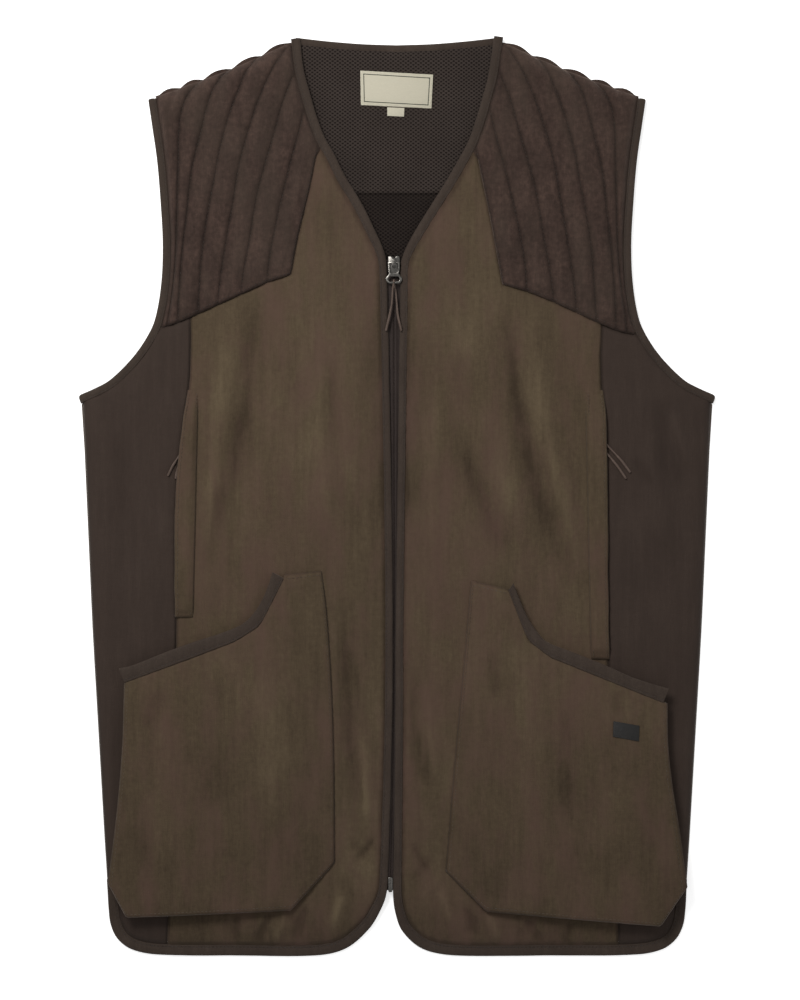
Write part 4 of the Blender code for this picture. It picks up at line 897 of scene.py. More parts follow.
class Nodes:
    """A material's node tree, with short calls for the nodes that the finishes use."""

    def __init__(self, name: str) -> None:
        """Starts a material with a plain shader.

        Args:
            name: The material's name.
        """
        self.material = bpy.data.materials.new(name)
        self.material.use_nodes = True
        self.tree = self.material.node_tree
        self.shader = self.tree.nodes["Principled BSDF"]
        self.object_coords = self.tree.nodes.new("ShaderNodeTexCoord").outputs["Object"]

    def feed(self, node: bpy.types.Node, values: dict[str | int, object]) -> None:
        """Links or sets some inputs of a node.

        Args:
            node: The node.
            values: A socket, a number or a colour for each input.
        """
        for key, value in values.items():
            socket = node.inputs[key]
            if isinstance(value, Socket):
                self.tree.links.new(value, socket)
            elif socket.type == "RGBA":
                socket.default_value = (*value, 1.0)
            else:
                socket.default_value = value

    def node(
        self, kind: str, output: str | int, values: dict[str | int, object], **options: str | bool
    ) -> Socket:
        """Adds a node.

        Args:
            kind: The end of its type's name.
            output: Which of its outputs is wanted.
            values: What its inputs are fed with.
            options: Its own settings.

        Returns:
            The output.
        """
        node = self.tree.nodes.new("ShaderNode" + kind)
        for name, option in options.items():
            setattr(node, name, option)
        self.feed(node, values)
        return node.outputs[output]

    def mapped(self, scale: Colour, turn: float = 0.0) -> Socket:
        """Object coordinates, turned about Z in degrees and scaled."""
        turned = (0.0, 0.0, math.radians(turn))
        return self.node("Mapping", 0, {"Vector": self.object_coords, "Rotation": turned, "Scale": scale})

    def noise(self, scale: Colour, detail: float = 2.0, roughness: float = 0.5) -> Socket:
        """A noise with its own scale along each axis, in features a metre."""
        settings = {"Vector": self.mapped(scale), "Scale": 1.0, "Detail": detail, "Roughness": roughness}
        return self.node("TexNoise", "Fac", settings)

    def maths(self, operation: str, a: object, b: object = 0.0) -> Socket:
        """The result of an operation on two values or sockets."""
        return self.node("Math", 0, {0: a, 1: b}, operation=operation)

    def blend(self, fac: object, a: object, b: object) -> Socket:
        """A mix of two colours."""
        return self.node("Mix", 2, {0: fac, 6: a, 7: b}, data_type="RGBA")

    def ramp(self, fac: object, stops: Sequence[tuple[float, Colour]]) -> Socket:
        """A colour ramp.

        Args:
            fac: Where along the ramp.
            stops: The positions and colours.

        Returns:
            The colour.
        """
        colour = self.node("ValToRGB", 0, {0: fac})
        elements = colour.node.color_ramp.elements
        while len(elements) < len(stops):
            elements.new(0.5)
        for element, (position, tone) in zip(elements, stops):
            element.position = position
            element.color = (*tone, 1.0)
        return colour

    def weighed(self, base: float, parts: Sequence[tuple[float, object]]) -> Socket:
        """A base value plus each part's weight times its distance from one half.

        Args:
            base: The base value.
            parts: The weights and parts.

        Returns:
            The sum.
        """
        total: object = base
        for weight, part in parts:
            centred = self.maths("SUBTRACT", part, 0.5)
            total = self.maths("ADD", total, self.maths("MULTIPLY", centred, weight))
        return total

    def clamped(self, value: object, floor: float, gain: float) -> Socket:
        """How far a value lies over a floor, times a gain, from 0 to 1."""
        over = {0: self.maths("SUBTRACT", value, floor), 1: gain}
        return self.node("Math", 0, over, operation="MULTIPLY", use_clamp=True)

    def wave(self, scale: Colour, axis: int, pitch: float, turn: float = 0.0) -> Socket:
        """A sine along one axis of scaled and turned places, with its pitch in millimetres."""
        coordinate = self.node("SeparateXYZ", axis, {0: self.mapped(scale, turn)})
        return self.maths("SINE", self.maths("MULTIPLY", coordinate, 2 * math.pi / (pitch * MM)))

    def bump(self, height: object, distance: float) -> None:
        """Gives the shader a relief, this deep in millimetres."""
        relief_in = {"Strength": 1.0, "Distance": distance * MM, "Height": height}
        self.feed(self.shader, {"Normal": self.node("Bump", "Normal", relief_in)})

    def shade(self, colour: object, roughness: object, **settings: object) -> None:
        """Sets the shader's colour, its roughness and other inputs by name."""
        others = {name.replace("_", " "): value for name, value in settings.items()}
        self.feed(self.shader, {"Base Color": colour, "Roughness": roughness, **others})


@dataclass(frozen=True)
class Finish:
    """A material's name and the record's slot that it stands for."""

    name: str
    slot: str

    def paint(self, nodes: Nodes) -> None:
        """Fills the material's node tree."""
        raise NotImplementedError(self.name)

    @cache
    def material(self) -> bpy.types.Material:
        """The material, made once.

        Returns:
            The material.
        """
        nodes = Nodes(self.name)
        self.paint(nodes)
        return nodes.material


@dataclass(frozen=True)
class Cloth(Finish):
    """A woven or napped cloth: its colours, the sizes of its relief in millimetres, and its sheen."""

    dark: Colour
    colour: Colour
    light: Colour
    cloud: float = 55.0
    mottle: float = 4.0
    slub: tuple[float, float] = (0.9, 9.0)
    streak: tuple[float, float] = (5.0, 60.0)
    cloud_share: float = 0.4
    mottle_share: float = 0.45
    slub_share: float = 0.26
    nap_and_painted_light_share: float = 0.65
    relief: float = 0.14
    roughness: float = 0.9
    sheen: float = 0.1
    sheen_tint: Colour = (0.9, 0.8, 0.7)
    flush: Colour = (0.0, 0.0, 0.0)
    flush_share: float = 0.0
    flush_size: tuple[float, float] = (26.0, 70.0)
    streak_share: float = 0.4
    fibre_share: float = 0.25
    fibre: float = 0.625

    def paint(self, nodes: Nodes) -> None:
        """Fills the cloth's node tree.

        Args:
            nodes: The tree.
        """
        thin, long = (1000.0 / size for size in self.slub)
        warp = nodes.noise((thin, long, thin), 2.0, 0.6)
        weft = nodes.noise((long, thin, thin), 2.0, 0.6)
        cloud = nodes.noise((1000 / self.cloud,) * 3, 3.0, 0.55)
        mottle = nodes.noise((1000 / self.mottle,) * 3, 5.0, 0.65)
        fibre = nodes.noise((1000.0 / self.fibre,) * 3, 3.0, 0.7)
        wide, tall = (1000.0 / size for size in self.streak)
        streak = nodes.noise((wide, tall, wide), 3.0, 0.6)
        share = nodes.weighed(0.5, [
            (self.cloud_share, cloud), (self.mottle_share, mottle), (self.slub_share, warp),
            (self.slub_share * 0.5, weft), (self.streak_share, streak), (self.fibre_share, fibre),
        ])
        # The piece's own attribute adds painted highlights and painted shade, with any uneven tone, to the
        # colour.
        if self.nap_and_painted_light_share:
            nap_and_painted_light = nodes.node("Attribute", "Fac", {}, attribute_name="nap_and_painted_light")
            share = nodes.maths("ADD", share, nodes.maths("MULTIPLY", nap_and_painted_light, self.nap_and_painted_light_share))
        tones = nodes.ramp(share, [(0.12, self.dark), (0.5, self.colour), (0.88, self.light)])
        if self.flush_share:
            wide, tall = (1000.0 / size for size in self.flush_size)
            patchy = nodes.noise((wide, tall, wide), 4.0, 0.6)
            flushed = nodes.clamped(patchy, 0.42, 4.0)
            tones = nodes.blend(nodes.maths("MULTIPLY", flushed, self.flush_share), tones, self.flush)
        nodes.bump(nodes.weighed(0.0, [(0.5, warp), (0.5, weft), (0.7, fibre), (0.6, mottle)]), self.relief)
        nodes.shade(
            tones, self.roughness, Sheen_Weight=self.sheen, Sheen_Roughness=0.45,
            Sheen_Tint=self.sheen_tint, Specular_IOR_Level=0.2,
        )


@dataclass(frozen=True)
class Net(Finish):
    """A knitted net: threads round small holes, on a slant."""

    thread: Colour
    hole: Colour
    pitch: float = 4.4
    squeeze: float = 1.35
    relief: float = 0.35

    def paint(self, nodes: Nodes) -> None:
        """Fills the net's node tree.

        Args:
            nodes: The tree.
        """
        bands = [nodes.wave((1.0, self.squeeze, 1.0), axis, self.pitch) for axis in (0, 1)]
        deep = nodes.clamped(nodes.maths("MULTIPLY", *bands), 0.08, 2.6)
        fibre = nodes.noise((900.0, 900.0, 900.0), 3.0, 0.6)
        cloud = nodes.noise((24.0, 16.0, 24.0), 2.0, 0.5)
        lit = nodes.ramp(nodes.weighed(0.5, [(0.5, fibre), (0.7, cloud)]), [
            (0.2, tuple(c * 0.75 for c in self.thread)), (0.8, tuple(c * 1.25 for c in self.thread)),
        ])
        colour = nodes.blend(deep, lit, self.hole)
        relief = nodes.maths("SUBTRACT", nodes.maths("MULTIPLY", fibre, 0.2), deep)
        nodes.bump(relief, self.relief)
        nodes.shade(colour, 0.85, Specular_IOR_Level=0.08)


@dataclass(frozen=True)
class Metal(Finish):
    """A plated metal with fine scratches and uneven darker, duller patches."""

    colour: Colour
    roughness: float = 0.3

    def paint(self, nodes: Nodes) -> None:
        """Fills the metal's node tree.

        Args:
            nodes: The tree.
        """
        cloud = nodes.noise((700.0, 700.0, 700.0), 3.0, 0.6)
        scratch = nodes.noise((4000.0, 500.0, 4000.0), 2.0, 0.6)
        tones = nodes.ramp(cloud, [
            (0.25, tuple(c * 0.62 for c in self.colour)), (0.7, self.colour),
        ])
        nodes.bump(scratch, 0.015)
        nodes.shade(tones, nodes.weighed(self.roughness, [(0.25, cloud)]), Metallic=1.0)


@dataclass(frozen=True)
class Satin(Finish):
    """A close woven band, such as a label or tab, with fine ribs across it."""

    colour: Colour
    shade: Colour
    rib: float = 0.9
    turn: float = 0.0
    roughness: float = 0.6

    def paint(self, nodes: Nodes) -> None:
        """Fills the band's node tree.

        Args:
            nodes: The tree.
        """
        ribs = nodes.wave((1.0, 1.0, 1.0), 1, self.rib, self.turn)
        thread = nodes.noise((500.0, 2500.0, 900.0), 2.0, 0.6)
        share = nodes.weighed(0.5, [(0.5, thread)])
        share = nodes.maths("ADD", share, nodes.maths("MULTIPLY", ribs, 0.12))
        nodes.bump(nodes.maths("ADD", ribs, thread), 0.08)
        nodes.shade(nodes.ramp(share, [(0.2, self.shade), (0.75, self.colour)]), self.roughness)


OLIVE = Cloth(
    "olive brushed cloth", "olive cloth", (0.040, 0.0265, 0.0155), (0.071, 0.050, 0.0295),
    (0.110, 0.081, 0.048), flush=(0.088, 0.0505, 0.039), flush_share=0.6,
)
BROWN = Cloth(
    "dark brown cloth", "brown cloth", (0.026, 0.0168, 0.0126), (0.0378, 0.0252, 0.0195),
    (0.055, 0.038, 0.0295), cloud=60.0, mottle=3.5, slub=(0.7, 9.0), mottle_share=0.2, roughness=0.85,
)
SUEDE = Cloth(
    "reddish brown suede cloth", "suede cloth", (0.020, 0.012, 0.0092), (0.043, 0.0262, 0.0205),
    (0.078, 0.048, 0.0375), cloud=24.0, mottle=4.2, slub=(1.2, 4.5), cloud_share=0.35, mottle_share=0.85,
    slub_share=0.35, relief=0.25, sheen=0.2, sheen_tint=(1.0, 0.75, 0.62), flush=(0.050, 0.036, 0.0265),
    flush_share=0.4,
)
BINDING_CLOTH = Cloth(
    "grey brown binding", "binding", (0.025, 0.0168, 0.0125), (0.041, 0.0285, 0.0215),
    (0.065, 0.048, 0.037), cloud=50.0, mottle=3.0, slub=(0.5, 2.0), mottle_share=0.3, slub_share=0.5,
    nap_and_painted_light_share=0.0, relief=0.18, roughness=0.8,
)
NET = Net("lining net", "lining net", (0.042, 0.0325, 0.028), (0.011, 0.0083, 0.0073))
# The lower lining is a darker net; its colour also holds painted shade from the fronts at the bottom of the
# neck opening.
DARK_SHADED_NET = Net("dark lining net", "dark lining net", (0.0200, 0.0148, 0.0125), (0.006, 0.0044, 0.004))
TAPE = Cloth(
    "zip tape", "zip tape", (0.015, 0.0105, 0.009), (0.027, 0.0185, 0.016), (0.045, 0.032, 0.027),
    cloud=40.0, mottle=3.0, slub=(0.5, 1.6), nap_and_painted_light_share=0.0, roughness=0.7, sheen=0.05,
)
METAL = Metal("gunmetal plate", "dark metal", (0.20, 0.19, 0.175))
WAXED_LACE = Cloth(
    "waxed lace", "lace", (0.048, 0.032, 0.025), (0.100, 0.070, 0.056), (0.165, 0.125, 0.104),
    cloud=20.0, mottle=2.0, slub=(0.3, 1.0), nap_and_painted_light_share=0.0, roughness=0.5, sheen=0.0, relief=0.1,
)
LABEL = Satin("cream label", "label", (0.60, 0.56, 0.44), (0.48, 0.45, 0.35))
BORDER = Satin("green label border", "label", (0.030, 0.045, 0.030), (0.018, 0.028, 0.018))
TAB = Satin("near black tab", "woven tab", (0.0088, 0.0073, 0.006), (0.0045, 0.0038, 0.0032), turn=10.0)
OLIVE_THREAD = Satin("olive thread", "olive cloth", (0.078, 0.056, 0.038), (0.050, 0.035, 0.023))
BROWN_THREAD = Satin("brown thread", "binding", (0.034, 0.024, 0.019), (0.018, 0.012, 0.010))
QUILT_THREAD = replace(BROWN_THREAD, name="quilting thread", slot="suede cloth")


def grid(columns: int, rows: int) -> tuple[bmesh.types.BMesh, Array]:
    """A flat grid and each vertex's shares across and down it.

    Args:
        columns: How many columns of faces.
        rows: How many rows of faces.

    Returns:
        The grid and the rows of shares.
    """
    bm = bmesh.new()
    bmesh.ops.create_grid(bm, x_segments=columns, y_segments=rows, size=0.5)
    return bm, np.array([(vert.co.x + 0.5, 0.5 - vert.co.y) for vert in bm.verts])


def moved_to(bm: bmesh.types.BMesh, spots: Array) -> None:
    """Moves each vertex to its spot, in millimetres."""
    for vert, spot in zip(bm.verts, spots * MM):
        vert.co = spot


def capped(bm: bmesh.types.BMesh) -> None:
    """Merges a tube's seam and closes its open ends."""
    bmesh.ops.remove_doubles(bm, verts=bm.verts[:], dist=SAME_SPOT)
    bmesh.ops.holes_fill(bm, edges=[edge for edge in bm.edges if edge.is_boundary])


def dressed(
    mesh: bpy.types.Mesh, finish: Finish, nodes: Sequence[str], body: Body
) -> Piece:
    """Puts a finished mesh in the scene as a piece of the garment.

    Args:
        mesh: The mesh, whose name the piece takes.
        finish: Its finish.
        nodes: The solids it stands for.
        body: The rigid body it rides on.

    Returns:
        The piece.
    """
    mesh.shade_smooth()
    mesh.materials.append(finish.material())
    piece = bpy.data.objects.new(mesh.name, mesh)
    bpy.context.scene.collection.objects.link(piece)
    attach(piece, body.value)
    if nodes:
        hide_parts(*nodes)
    LOG.info("%s: %d faces", mesh.name, len(mesh.polygons))
    return piece


def piece_from(
    name: str, bm: bmesh.types.BMesh, finish: Finish, nodes: Sequence[str] = (), body: Body = Body.GILET,
    wall: float = 0.0, sharp: float = 60.0,
) -> Piece:
    """Turns a bmesh into a finished piece of the garment.

    Args:
        name: The piece's name.
        bm: Its surface in metres, freed here.
        finish: Its finish.
        nodes: The solids it stands for.
        body: The rigid body it rides on.
        wall: The thickness of a cloth wall grown inwards, in millimetres, or none.
        sharp: The angle past which an edge stays sharp, in degrees.

    Returns:
        The piece.
    """
    bmesh.ops.remove_doubles(bm, verts=bm.verts[:], dist=SAME_SPOT)
    bmesh.ops.recalc_face_normals(bm, faces=bm.faces[:])
    if wall and sum(face.normal.z * face.calc_area() for face in bm.faces) < 0:
        bmesh.ops.reverse_faces(bm, faces=bm.faces[:])
    mesh = bpy.data.meshes.new(name)
    bm.to_mesh(mesh)
    bm.free()
    piece = dressed(mesh, finish, nodes, body)
    mesh.set_sharp_from_angle(angle=math.radians(sharp))
    if wall:
        solid = piece.modifiers.new("wall", "SOLIDIFY")
        solid.thickness = wall * MM
        solid.offset = -1.0
    return piece


def cloth(
    name: str, side: Side, cells: tuple[int, int], place: Place, height: Height, finish: Finish,
    nodes: Sequence[str], nap_and_painted_light: Edge, wall: float = CLOTH,
) -> Piece:
    """A cloth wall over a place function.

    Args:
        name: The piece's name.
        side: Its side of the garment.
        cells: Its columns and rows.
        place: From shares to (out, up).
        height: From shares and spots to the outer face's height.
        finish: Its finish.
        nodes: The solids it stands for.
        nap_and_painted_light: From spots to the painted light and shade there, with any uneven tone.
        wall: Its thickness.

    Returns:
        The piece.
    """
    bm, shares = grid(*cells)
    u, v = shares[:, 0], shares[:, 1]
    spots = place(u, v)
    layer = bm.verts.layers.float.new("nap_and_painted_light")
    for vert, value in zip(bm.verts, nap_and_painted_light(spots)):
        vert[layer] = float(value)
    moved_to(bm, side.placed(spots, height(u, v, spots)))
    return piece_from(name, bm, finish, nodes, wall=wall)


def round_stations(shares: Array, around: int, along_it: int, stations: int) -> tuple[Array, Array]:
    """Which place round the section and which station each vertex of a rolled up grid has.

    Args:
        shares: The vertices' shares across and down the grid.
        around: How many places the section has.
        along_it: How many rows of faces the grid has.
        stations: How many stations the strip has.

    Returns:
        The place round the section and the station, both from 0.
    """
    i = np.rint(shares[:, 0] * around).astype(int) % around
    return i, np.rint(shares[:, 1] * along_it).astype(int) % stations


def tube(
    name: str, points: Array, radius: Array, finish: Finish, nodes: Sequence[str],
    body: Body = Body.GILET, sides: int = 12, twist: float = 1.1, strands: int = 3,
) -> Piece:
    """A round cord along points in millimetres, with its strands twisted round it.

    Args:
        name: The piece's name.
        points: The cord's middle line.
        radius: Its radius at each point.
        finish: Its finish.
        nodes: The solids it stands for.
        body: The rigid body it rides on.
        sides: How many faces it has round it.
        twist: How fast the strands turn, in radians a millimetre.
        strands: How many show.

    Returns:
        The piece.
    """
    direction = directions(points)
    across_x = np.cross(direction, [0.0, 0.0, 1.0])
    flat = np.linalg.norm(across_x, axis=1, keepdims=True)
    across_x = np.where(flat > 0.05, across_x / np.maximum(flat, 1e-9), np.array([[1.0, 0.0, 0.0]]))
    across_z = np.cross(across_x, direction)
    rows = len(points) - 1
    bm, shares = grid(sides, rows)
    i, j = round_stations(shares, sides, rows, len(points))
    angle = i / sides * 2 * math.pi
    run = travelled(points)[j]
    lobes = 1.0 - 0.1 * np.abs(np.sin((angle - run * twist) * strands / 2))
    reach = (radius[j] * lobes)[:, None]
    spots = points[j] + (across_x[j] * np.cos(angle)[:, None] + across_z[j] * np.sin(angle)[:, None]) * reach
    moved_to(bm, spots)
    capped(bm)
    return piece_from(name, bm, finish, nodes, body=body)


def softened(
    node: str, name: str, width: float, finish: Finish, body: Body = Body.GILET, segments: int = 2
) -> Piece:
    """A copy of a hard solid with its flat faces whole and its edges rounded.

    Args:
        node: The solid.
        name: The piece's name.
        width: How far the rounding reaches, in millimetres.
        finish: Its finish.
        body: The rigid body it rides on.
        segments: How many faces the rounding has.

    Returns:
        The piece.
    """
    bm = bmesh.new()
    bm.from_mesh(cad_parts[node].data)
    bmesh.ops.remove_doubles(bm, verts=bm.verts[:], dist=SAME_CORNER)
    bmesh.ops.dissolve_limit(
        bm, angle_limit=math.radians(2), verts=bm.verts[:], edges=bm.edges[:], use_dissolve_boundaries=False
    )
    edges = [edge for edge in bm.edges if edge.is_manifold and edge.calc_face_angle(0.0) > math.radians(25)]
    bmesh.ops.bevel(
        bm, geom=edges, offset=width * MM, segments=segments, profile=0.5, affect="EDGES", material=-1,
        clamp_overlap=True,
    )
    return piece_from(name, bm, finish, [node], body=body, sharp=40.0)


def copies(
    name: str, base: bmesh.types.BMesh, spots: Array, axes: Array, finish: Finish
) -> None:
    """One piece of many copies of a small shape.

    Args:
        name: The piece's name.
        base: The small shape in millimetres, freed here.
        spots: Where each copy goes.
        axes: Each copy's own X, Y and Z axes, as rows of a matrix.
        finish: Its finish.
    """
    corners = np.array([vert.co[:] for vert in base.verts])
    faces = [[vert.index for vert in face.verts] for face in base.faces]
    base.free()
    placed = spots[:, None, :] + np.einsum("vk,nkx->nvx", corners, axes)
    mesh = bpy.data.meshes.new(name)
    count = len(corners)
    all_faces = [[i + n * count for i in face] for n in range(len(spots)) for face in faces]
    mesh.from_pydata((placed.reshape(-1, 3) * MM).tolist(), [], all_faces)
    dressed(mesh, finish, (), Body.GILET)


def bead(size: tuple[float, float, float]) -> bmesh.types.BMesh:
    """A small round shape of the given size, to be copied many times.

    Args:
        size: Its size along X, Y and Z, in millimetres.

    Returns:
        The shape.
    """
    base = bmesh.new()
    bmesh.ops.create_uvsphere(base, u_segments=6, v_segments=4, radius=0.5)
    bmesh.ops.scale(base, verts=base.verts[:], vec=size)
    base.verts.index_update()
    return base


@dataclass(frozen=True)
class Thread:
    """Topstitching: the length, gap and thickness of its stitches."""

    length: float = 2.5
    gap: float = 0.9
    thickness: float = 0.5

    def sew(self, name: str, runs: Sequence[Array], finish: Finish) -> None:
        """Sews a row of stitches along each run of (x, y, z) points.

        Args:
            name: The piece's name.
            runs: The runs.
            finish: The thread's finish.
        """
        base = bead((self.thickness, self.thickness, self.length))
        spots, axes = [], []
        for run in runs:
            total = travelled(run)[-1]
            count = max(1, int(total / (self.length + self.gap)))
            share = (np.arange(count) + 0.5) / count
            half = self.length / 2 / total
            follow = along(run)
            direction = follow(share + half) - follow(share - half)
            direction /= np.linalg.norm(direction, axis=1, keepdims=True)
            beside = np.cross(direction, [0.0, 0.0, 1.0])
            beside /= np.maximum(np.linalg.norm(beside, axis=1, keepdims=True), 1e-6)
            spots.append(follow(share))
            axes.append(np.stack([beside, np.cross(direction, beside), direction], axis=1))
        copies(name, base, np.vstack(spots), np.vstack(axes), finish)


def binding_strip(
    name: str, outer: Array, inner: Array, thickness: Array, node: str,
    stitches: str = "", facing: Array | None = None, shown: Array | None = None,
) -> None:
    """A folded binding between two lines, with its row of stitches.

    Args:
        name: The piece's name.
        outer: Its outer line, rows of (x, y, z).
        inner: Its inner line.
        thickness: Its thickness at each station.
        node: The solid it stands for.
        stitches: The name of its row of stitches, or none.
        facing: Which way its face looks at each station, or straight up.
        shown: Where the stitches show, for a binding whose end meets its start.
    """
    ring = np.array(BINDING_SECTION)
    stations = len(outer)
    closed = shown is not None
    if facing is None:
        facing = np.tile([0.0, 0.0, 1.0], (stations, 1))
    rows = stations if closed else stations - 1
    bm, shares = grid(len(ring), rows)
    i, j = round_stations(shares, len(ring), rows, stations)
    spots = outer[j] + (inner[j] - outer[j]) * ring[i, :1]
    moved_to(bm, spots + facing[j] * (thickness[j] * ring[i, 1])[:, None])
    if not closed:
        capped(bm)
    piece_from(name, bm, BINDING_CLOTH, [node])
    if stitches:
        run = outer + (inner - outer) * BINDING_STITCH + facing * (thickness * 0.36 + 0.1)[:, None]
        Thread().sew(stitches, [run[shown] if closed else run], BROWN_THREAD)


def sewn_line(
    side: Side, place: Place, height: Height, u: Array, v: Array,
    lift: float = 0.15,
) -> Array:
    """The run of a row of stitches at some shares of a cloth, a little clear of its face."""
    spots = place(u, v)
    return side.placed(spots, height(u, v, spots) + lift)


@dataclass
class Back:
    """The back panel, its linings and its own two bindings."""

    body_cells: tuple[int, int] = (110, 120)
    yoke_cells: tuple[int, int] = (110, 36)
    hem_stations: int = 169
    hem_thickness: float = 1.4
    waves: Uneven = Uneven(0.5, 26.0, 1.8)
    ripples: Uneven = Uneven(0.25, 9.0)

    def half_width(self, up: Array) -> Array:
        """Half the width of the back inside its armhole bindings and side folds.

        Args:
            up: Heights on the back.

        Returns:
            The half width at each height.
        """
        armhole = ARMHOLE_INNER[ARMHOLE_INNER[:, 1] > 100.0]
        at_armhole = np.interp(up, armhole[:, 1], armhole[:, 0])
        at_side = side_out(up) - 9.0
        return np.where(up < 76.0, at_side, at_armhole - 1.2)

    def lining(self, name: str, upper: bool) -> Piece:
        """One of the two net linings, lying a little unevenly on the back.

        Args:
            name: The piece's name.
            upper: Whether it is the yoke's.

        Returns:
            The piece.
        """
        bm, shares = grid(*(self.yoke_cells if upper else self.body_cells))
        across_x = 2 * shares[:, 0] - 1
        if upper:
            shoulder = SHOULDER_LINE[:, :2] - np.array([3.0, 7.0])
            neck = smooth(BACK_NECK, 12.0) - np.array([0.0, BACK_NECK_BINDING_WIDTH - 1.0])
            top = np.vstack([neck, shoulder])
            x = across_x * self.half_width(np.full(len(shares), LINING_SEAM_UP))
            ceiling = np.interp(np.abs(x), top[:, 0], top[:, 1])
            y = ceiling + (LINING_SEAM_UP - ceiling) * shares[:, 1]
            x = np.sign(x) * np.minimum(np.abs(x), np.abs(across_x) * self.half_width(y))
        else:
            low = BACK_HEM_UP + BACK_HEM_BINDING_WIDTH + 3.0
            y = LINING_SEAM_UP + (low - LINING_SEAM_UP) * shares[:, 1]
            x = across_x * self.half_width(y)
        spots = np.column_stack([x, y])
        shown = ease((y - 150.0) / 60.0) * ease((110.0 - np.abs(x)) / 30.0)
        z = LINING_TOP + shown * (self.waves.over(spots, 8.0) + self.ripples.over(spots, 15.0))
        z += shown * 0.35 * np.exp(-np.abs(y - LINING_SEAM_UP) / 3.0) * (1.0 if upper else -1.0)
        moved_to(bm, np.column_stack([spots, z]))
        finish, node = (NET, "back_yoke_lining") if upper else (DARK_SHADED_NET, "back_body_lining")
        return piece_from(name, bm, finish, [node], wall=LINING)

    def bindings(self) -> None:
        """The bindings of the back's neck and hem."""
        half = smooth([*BACK_NECK, (88.0, 399.6)], 3.0)
        neck = np.vstack([half[:0:-1] * [-1, 1], half])
        outer = np.column_stack([neck, BACK_BINDING_MIDDLE + 0.15 * drift(neck, 22.0, 2.0)])
        inner = outer - [0.0, BACK_NECK_BINDING_WIDTH, 0.0]
        thickness = np.full(len(neck), BINDING)
        binding_strip("back_neck_band", outer, inner, thickness, "back_neck_binding")
        corner = float(side_out(np.array([BACK_HEM_UP + 4.0]))[0])
        x = np.linspace(-corner, corner, self.hem_stations)
        y = BACK_HEM_UP + 2.5 * ease((np.abs(x) - corner + 8.0) / 8.0)
        outer = np.column_stack([x, y, np.full(len(x), CLOTH / 2 + 0.1)])
        inner = outer + [0.0, BACK_HEM_BINDING_WIDTH, 0.0]
        thickness = np.full(len(x), self.hem_thickness)
        binding_strip("back_hem_band", outer, inner, thickness, "back_hem_binding")

    def build(self) -> None:
        panel = softened("back_panel", "back_cloth", 0.5, OLIVE)
        yoke = self.lining("yoke_lining", True)
        body = self.lining("body_lining", False)
        self.bindings()


@dataclass
class SidePart:
    """A part that each side of the garment has."""

    lie: Lie

    @property
    def side(self) -> Side:
        """The part's side."""
        return self.lie.side

    @property
    def name(self) -> str:
        """The side's name."""
        return self.lie.side.value

    @property
    def seed(self) -> float:
        """The side's seed."""
        return self.lie.side.seed


@dataclass
class FrontHalf(SidePart):
    """One side's front and side front."""

    front_cells: tuple[int, int] = (72, 250)
    side_cells: tuple[int, int] = (40, 200)
    seam_gathers: Gathers = Gathers(0.35, 11.0, 7.0)
    patch_gathers: Gathers = Gathers(0.3, 12.0, 7.0)
    under_patch: tuple[float, float] = (2.4, 0.6)
    fold_stations: int = 401

    def places(self) -> tuple[Place, Place]:
        """The place functions of the front and of the side front.

        Returns:
            The two place functions.
        """
        edge = self.lie.edge_tucked[:, :2]
        neck, foot, hem, vent = (cut_share(edge, *spot) for spot in (
            PATCH_INNER[self.name][0], ZIP_FOOT[self.name], self.lie.seam[-1], VENT_CORNER
        ))
        seam = np.vstack([self.lie.seam, along(edge, hem)(np.zeros(1))])
        seam[0] -= SEAM_TUCK
        knots = np.vstack([PATCH_HEM[self.name][0], hem_feet(self.side)])
        seam_start = cut_share(knots, *SIDE_SEAM[self.name][0])
        knots = knots - SEAM_TUCK
        tucked = smooth(PATCH_INNER[self.name])[::-1] + self.under_patch
        tucked[0] = knots[-1]
        inner = along(np.vstack([tucked, along(edge, neck)(np.zeros(1))]))
        front = between(
            joined([along(knots, seam_start), inner], [FRONT_TOP_BEND]),
            along(edge, hem, foot), along(seam), along(edge, neck, foot),
        )
        armhole = along(ARMHOLE_TUCKED, 0.04, cut_share(ARMHOLE_TUCKED, *PATCH_HEM[self.name][0]))
        bottom = along(edge, vent, hem)
        vent_corner = np.array([float(side_out(np.array([VENT_TOP_UP]))[0]), VENT_TOP_UP])
        under_arm, at_vent = (
            along(np.vstack([corner, rest(np.zeros(1))]))
            for corner, rest in ((UNDERARM, armhole), (vent_corner, bottom))
        )
        side_up = np.linspace(UNDERARM[1], VENT_TOP_UP, self.fold_stations)
        fold = np.column_stack([np.linspace(0, 1, len(side_up)), side_out(side_up), side_up])
        side = between(
            joined([under_arm, armhole, along(knots, 0.0, seam_start)], [SIDE_CORNER, SIDE_TOP_BEND]),
            joined([at_vent, bottom], [SIDE_CORNER]), across(fold), along(seam),
        )
        return front, side

    def height(self, u: Array, v: Array, spots: Array) -> Array:
        """The cloth's height, drawn down into the seam between front and side front.

        Args:
            u: Shares across; not used.
            v: Shares down; not used.
            spots: Rows of (out, up).

        Returns:
            The height at each spot.
        """
        height = self.lie.height(spots)
        seam = nearest(self.lie.seam, spots)
        height += self.seam_gathers.beside(seam, self.seed + 2.0)
        patch = nearest(self.lie.patch_line, spots)
        height += self.patch_gathers.beside(patch, self.seed + 12.0) * (patch.inside > 0)
        under = 2.0 * ease((1.2 - patch.inside) / 2.4)
        return height - under - 0.9 * seam_shade(seam, 1.2)

    def build(self) -> None:
        """Builds both panels."""
        side = self.side
        front_place, side_place = self.places()
        front = cloth(
            f"front_cloth_{side.value}", side, self.front_cells, front_place, self.height,
            OLIVE, [f"front_{side.value}"], nap_and_painted_light=self.lie.nap_and_painted_light,
        )
        brown = cloth(
            f"side_cloth_{side.value}", side, self.side_cells, side_place, self.height,
            BROWN, [f"side_front_{side.value}"], nap_and_painted_light=self.lie.nap_and_painted_light,
        )


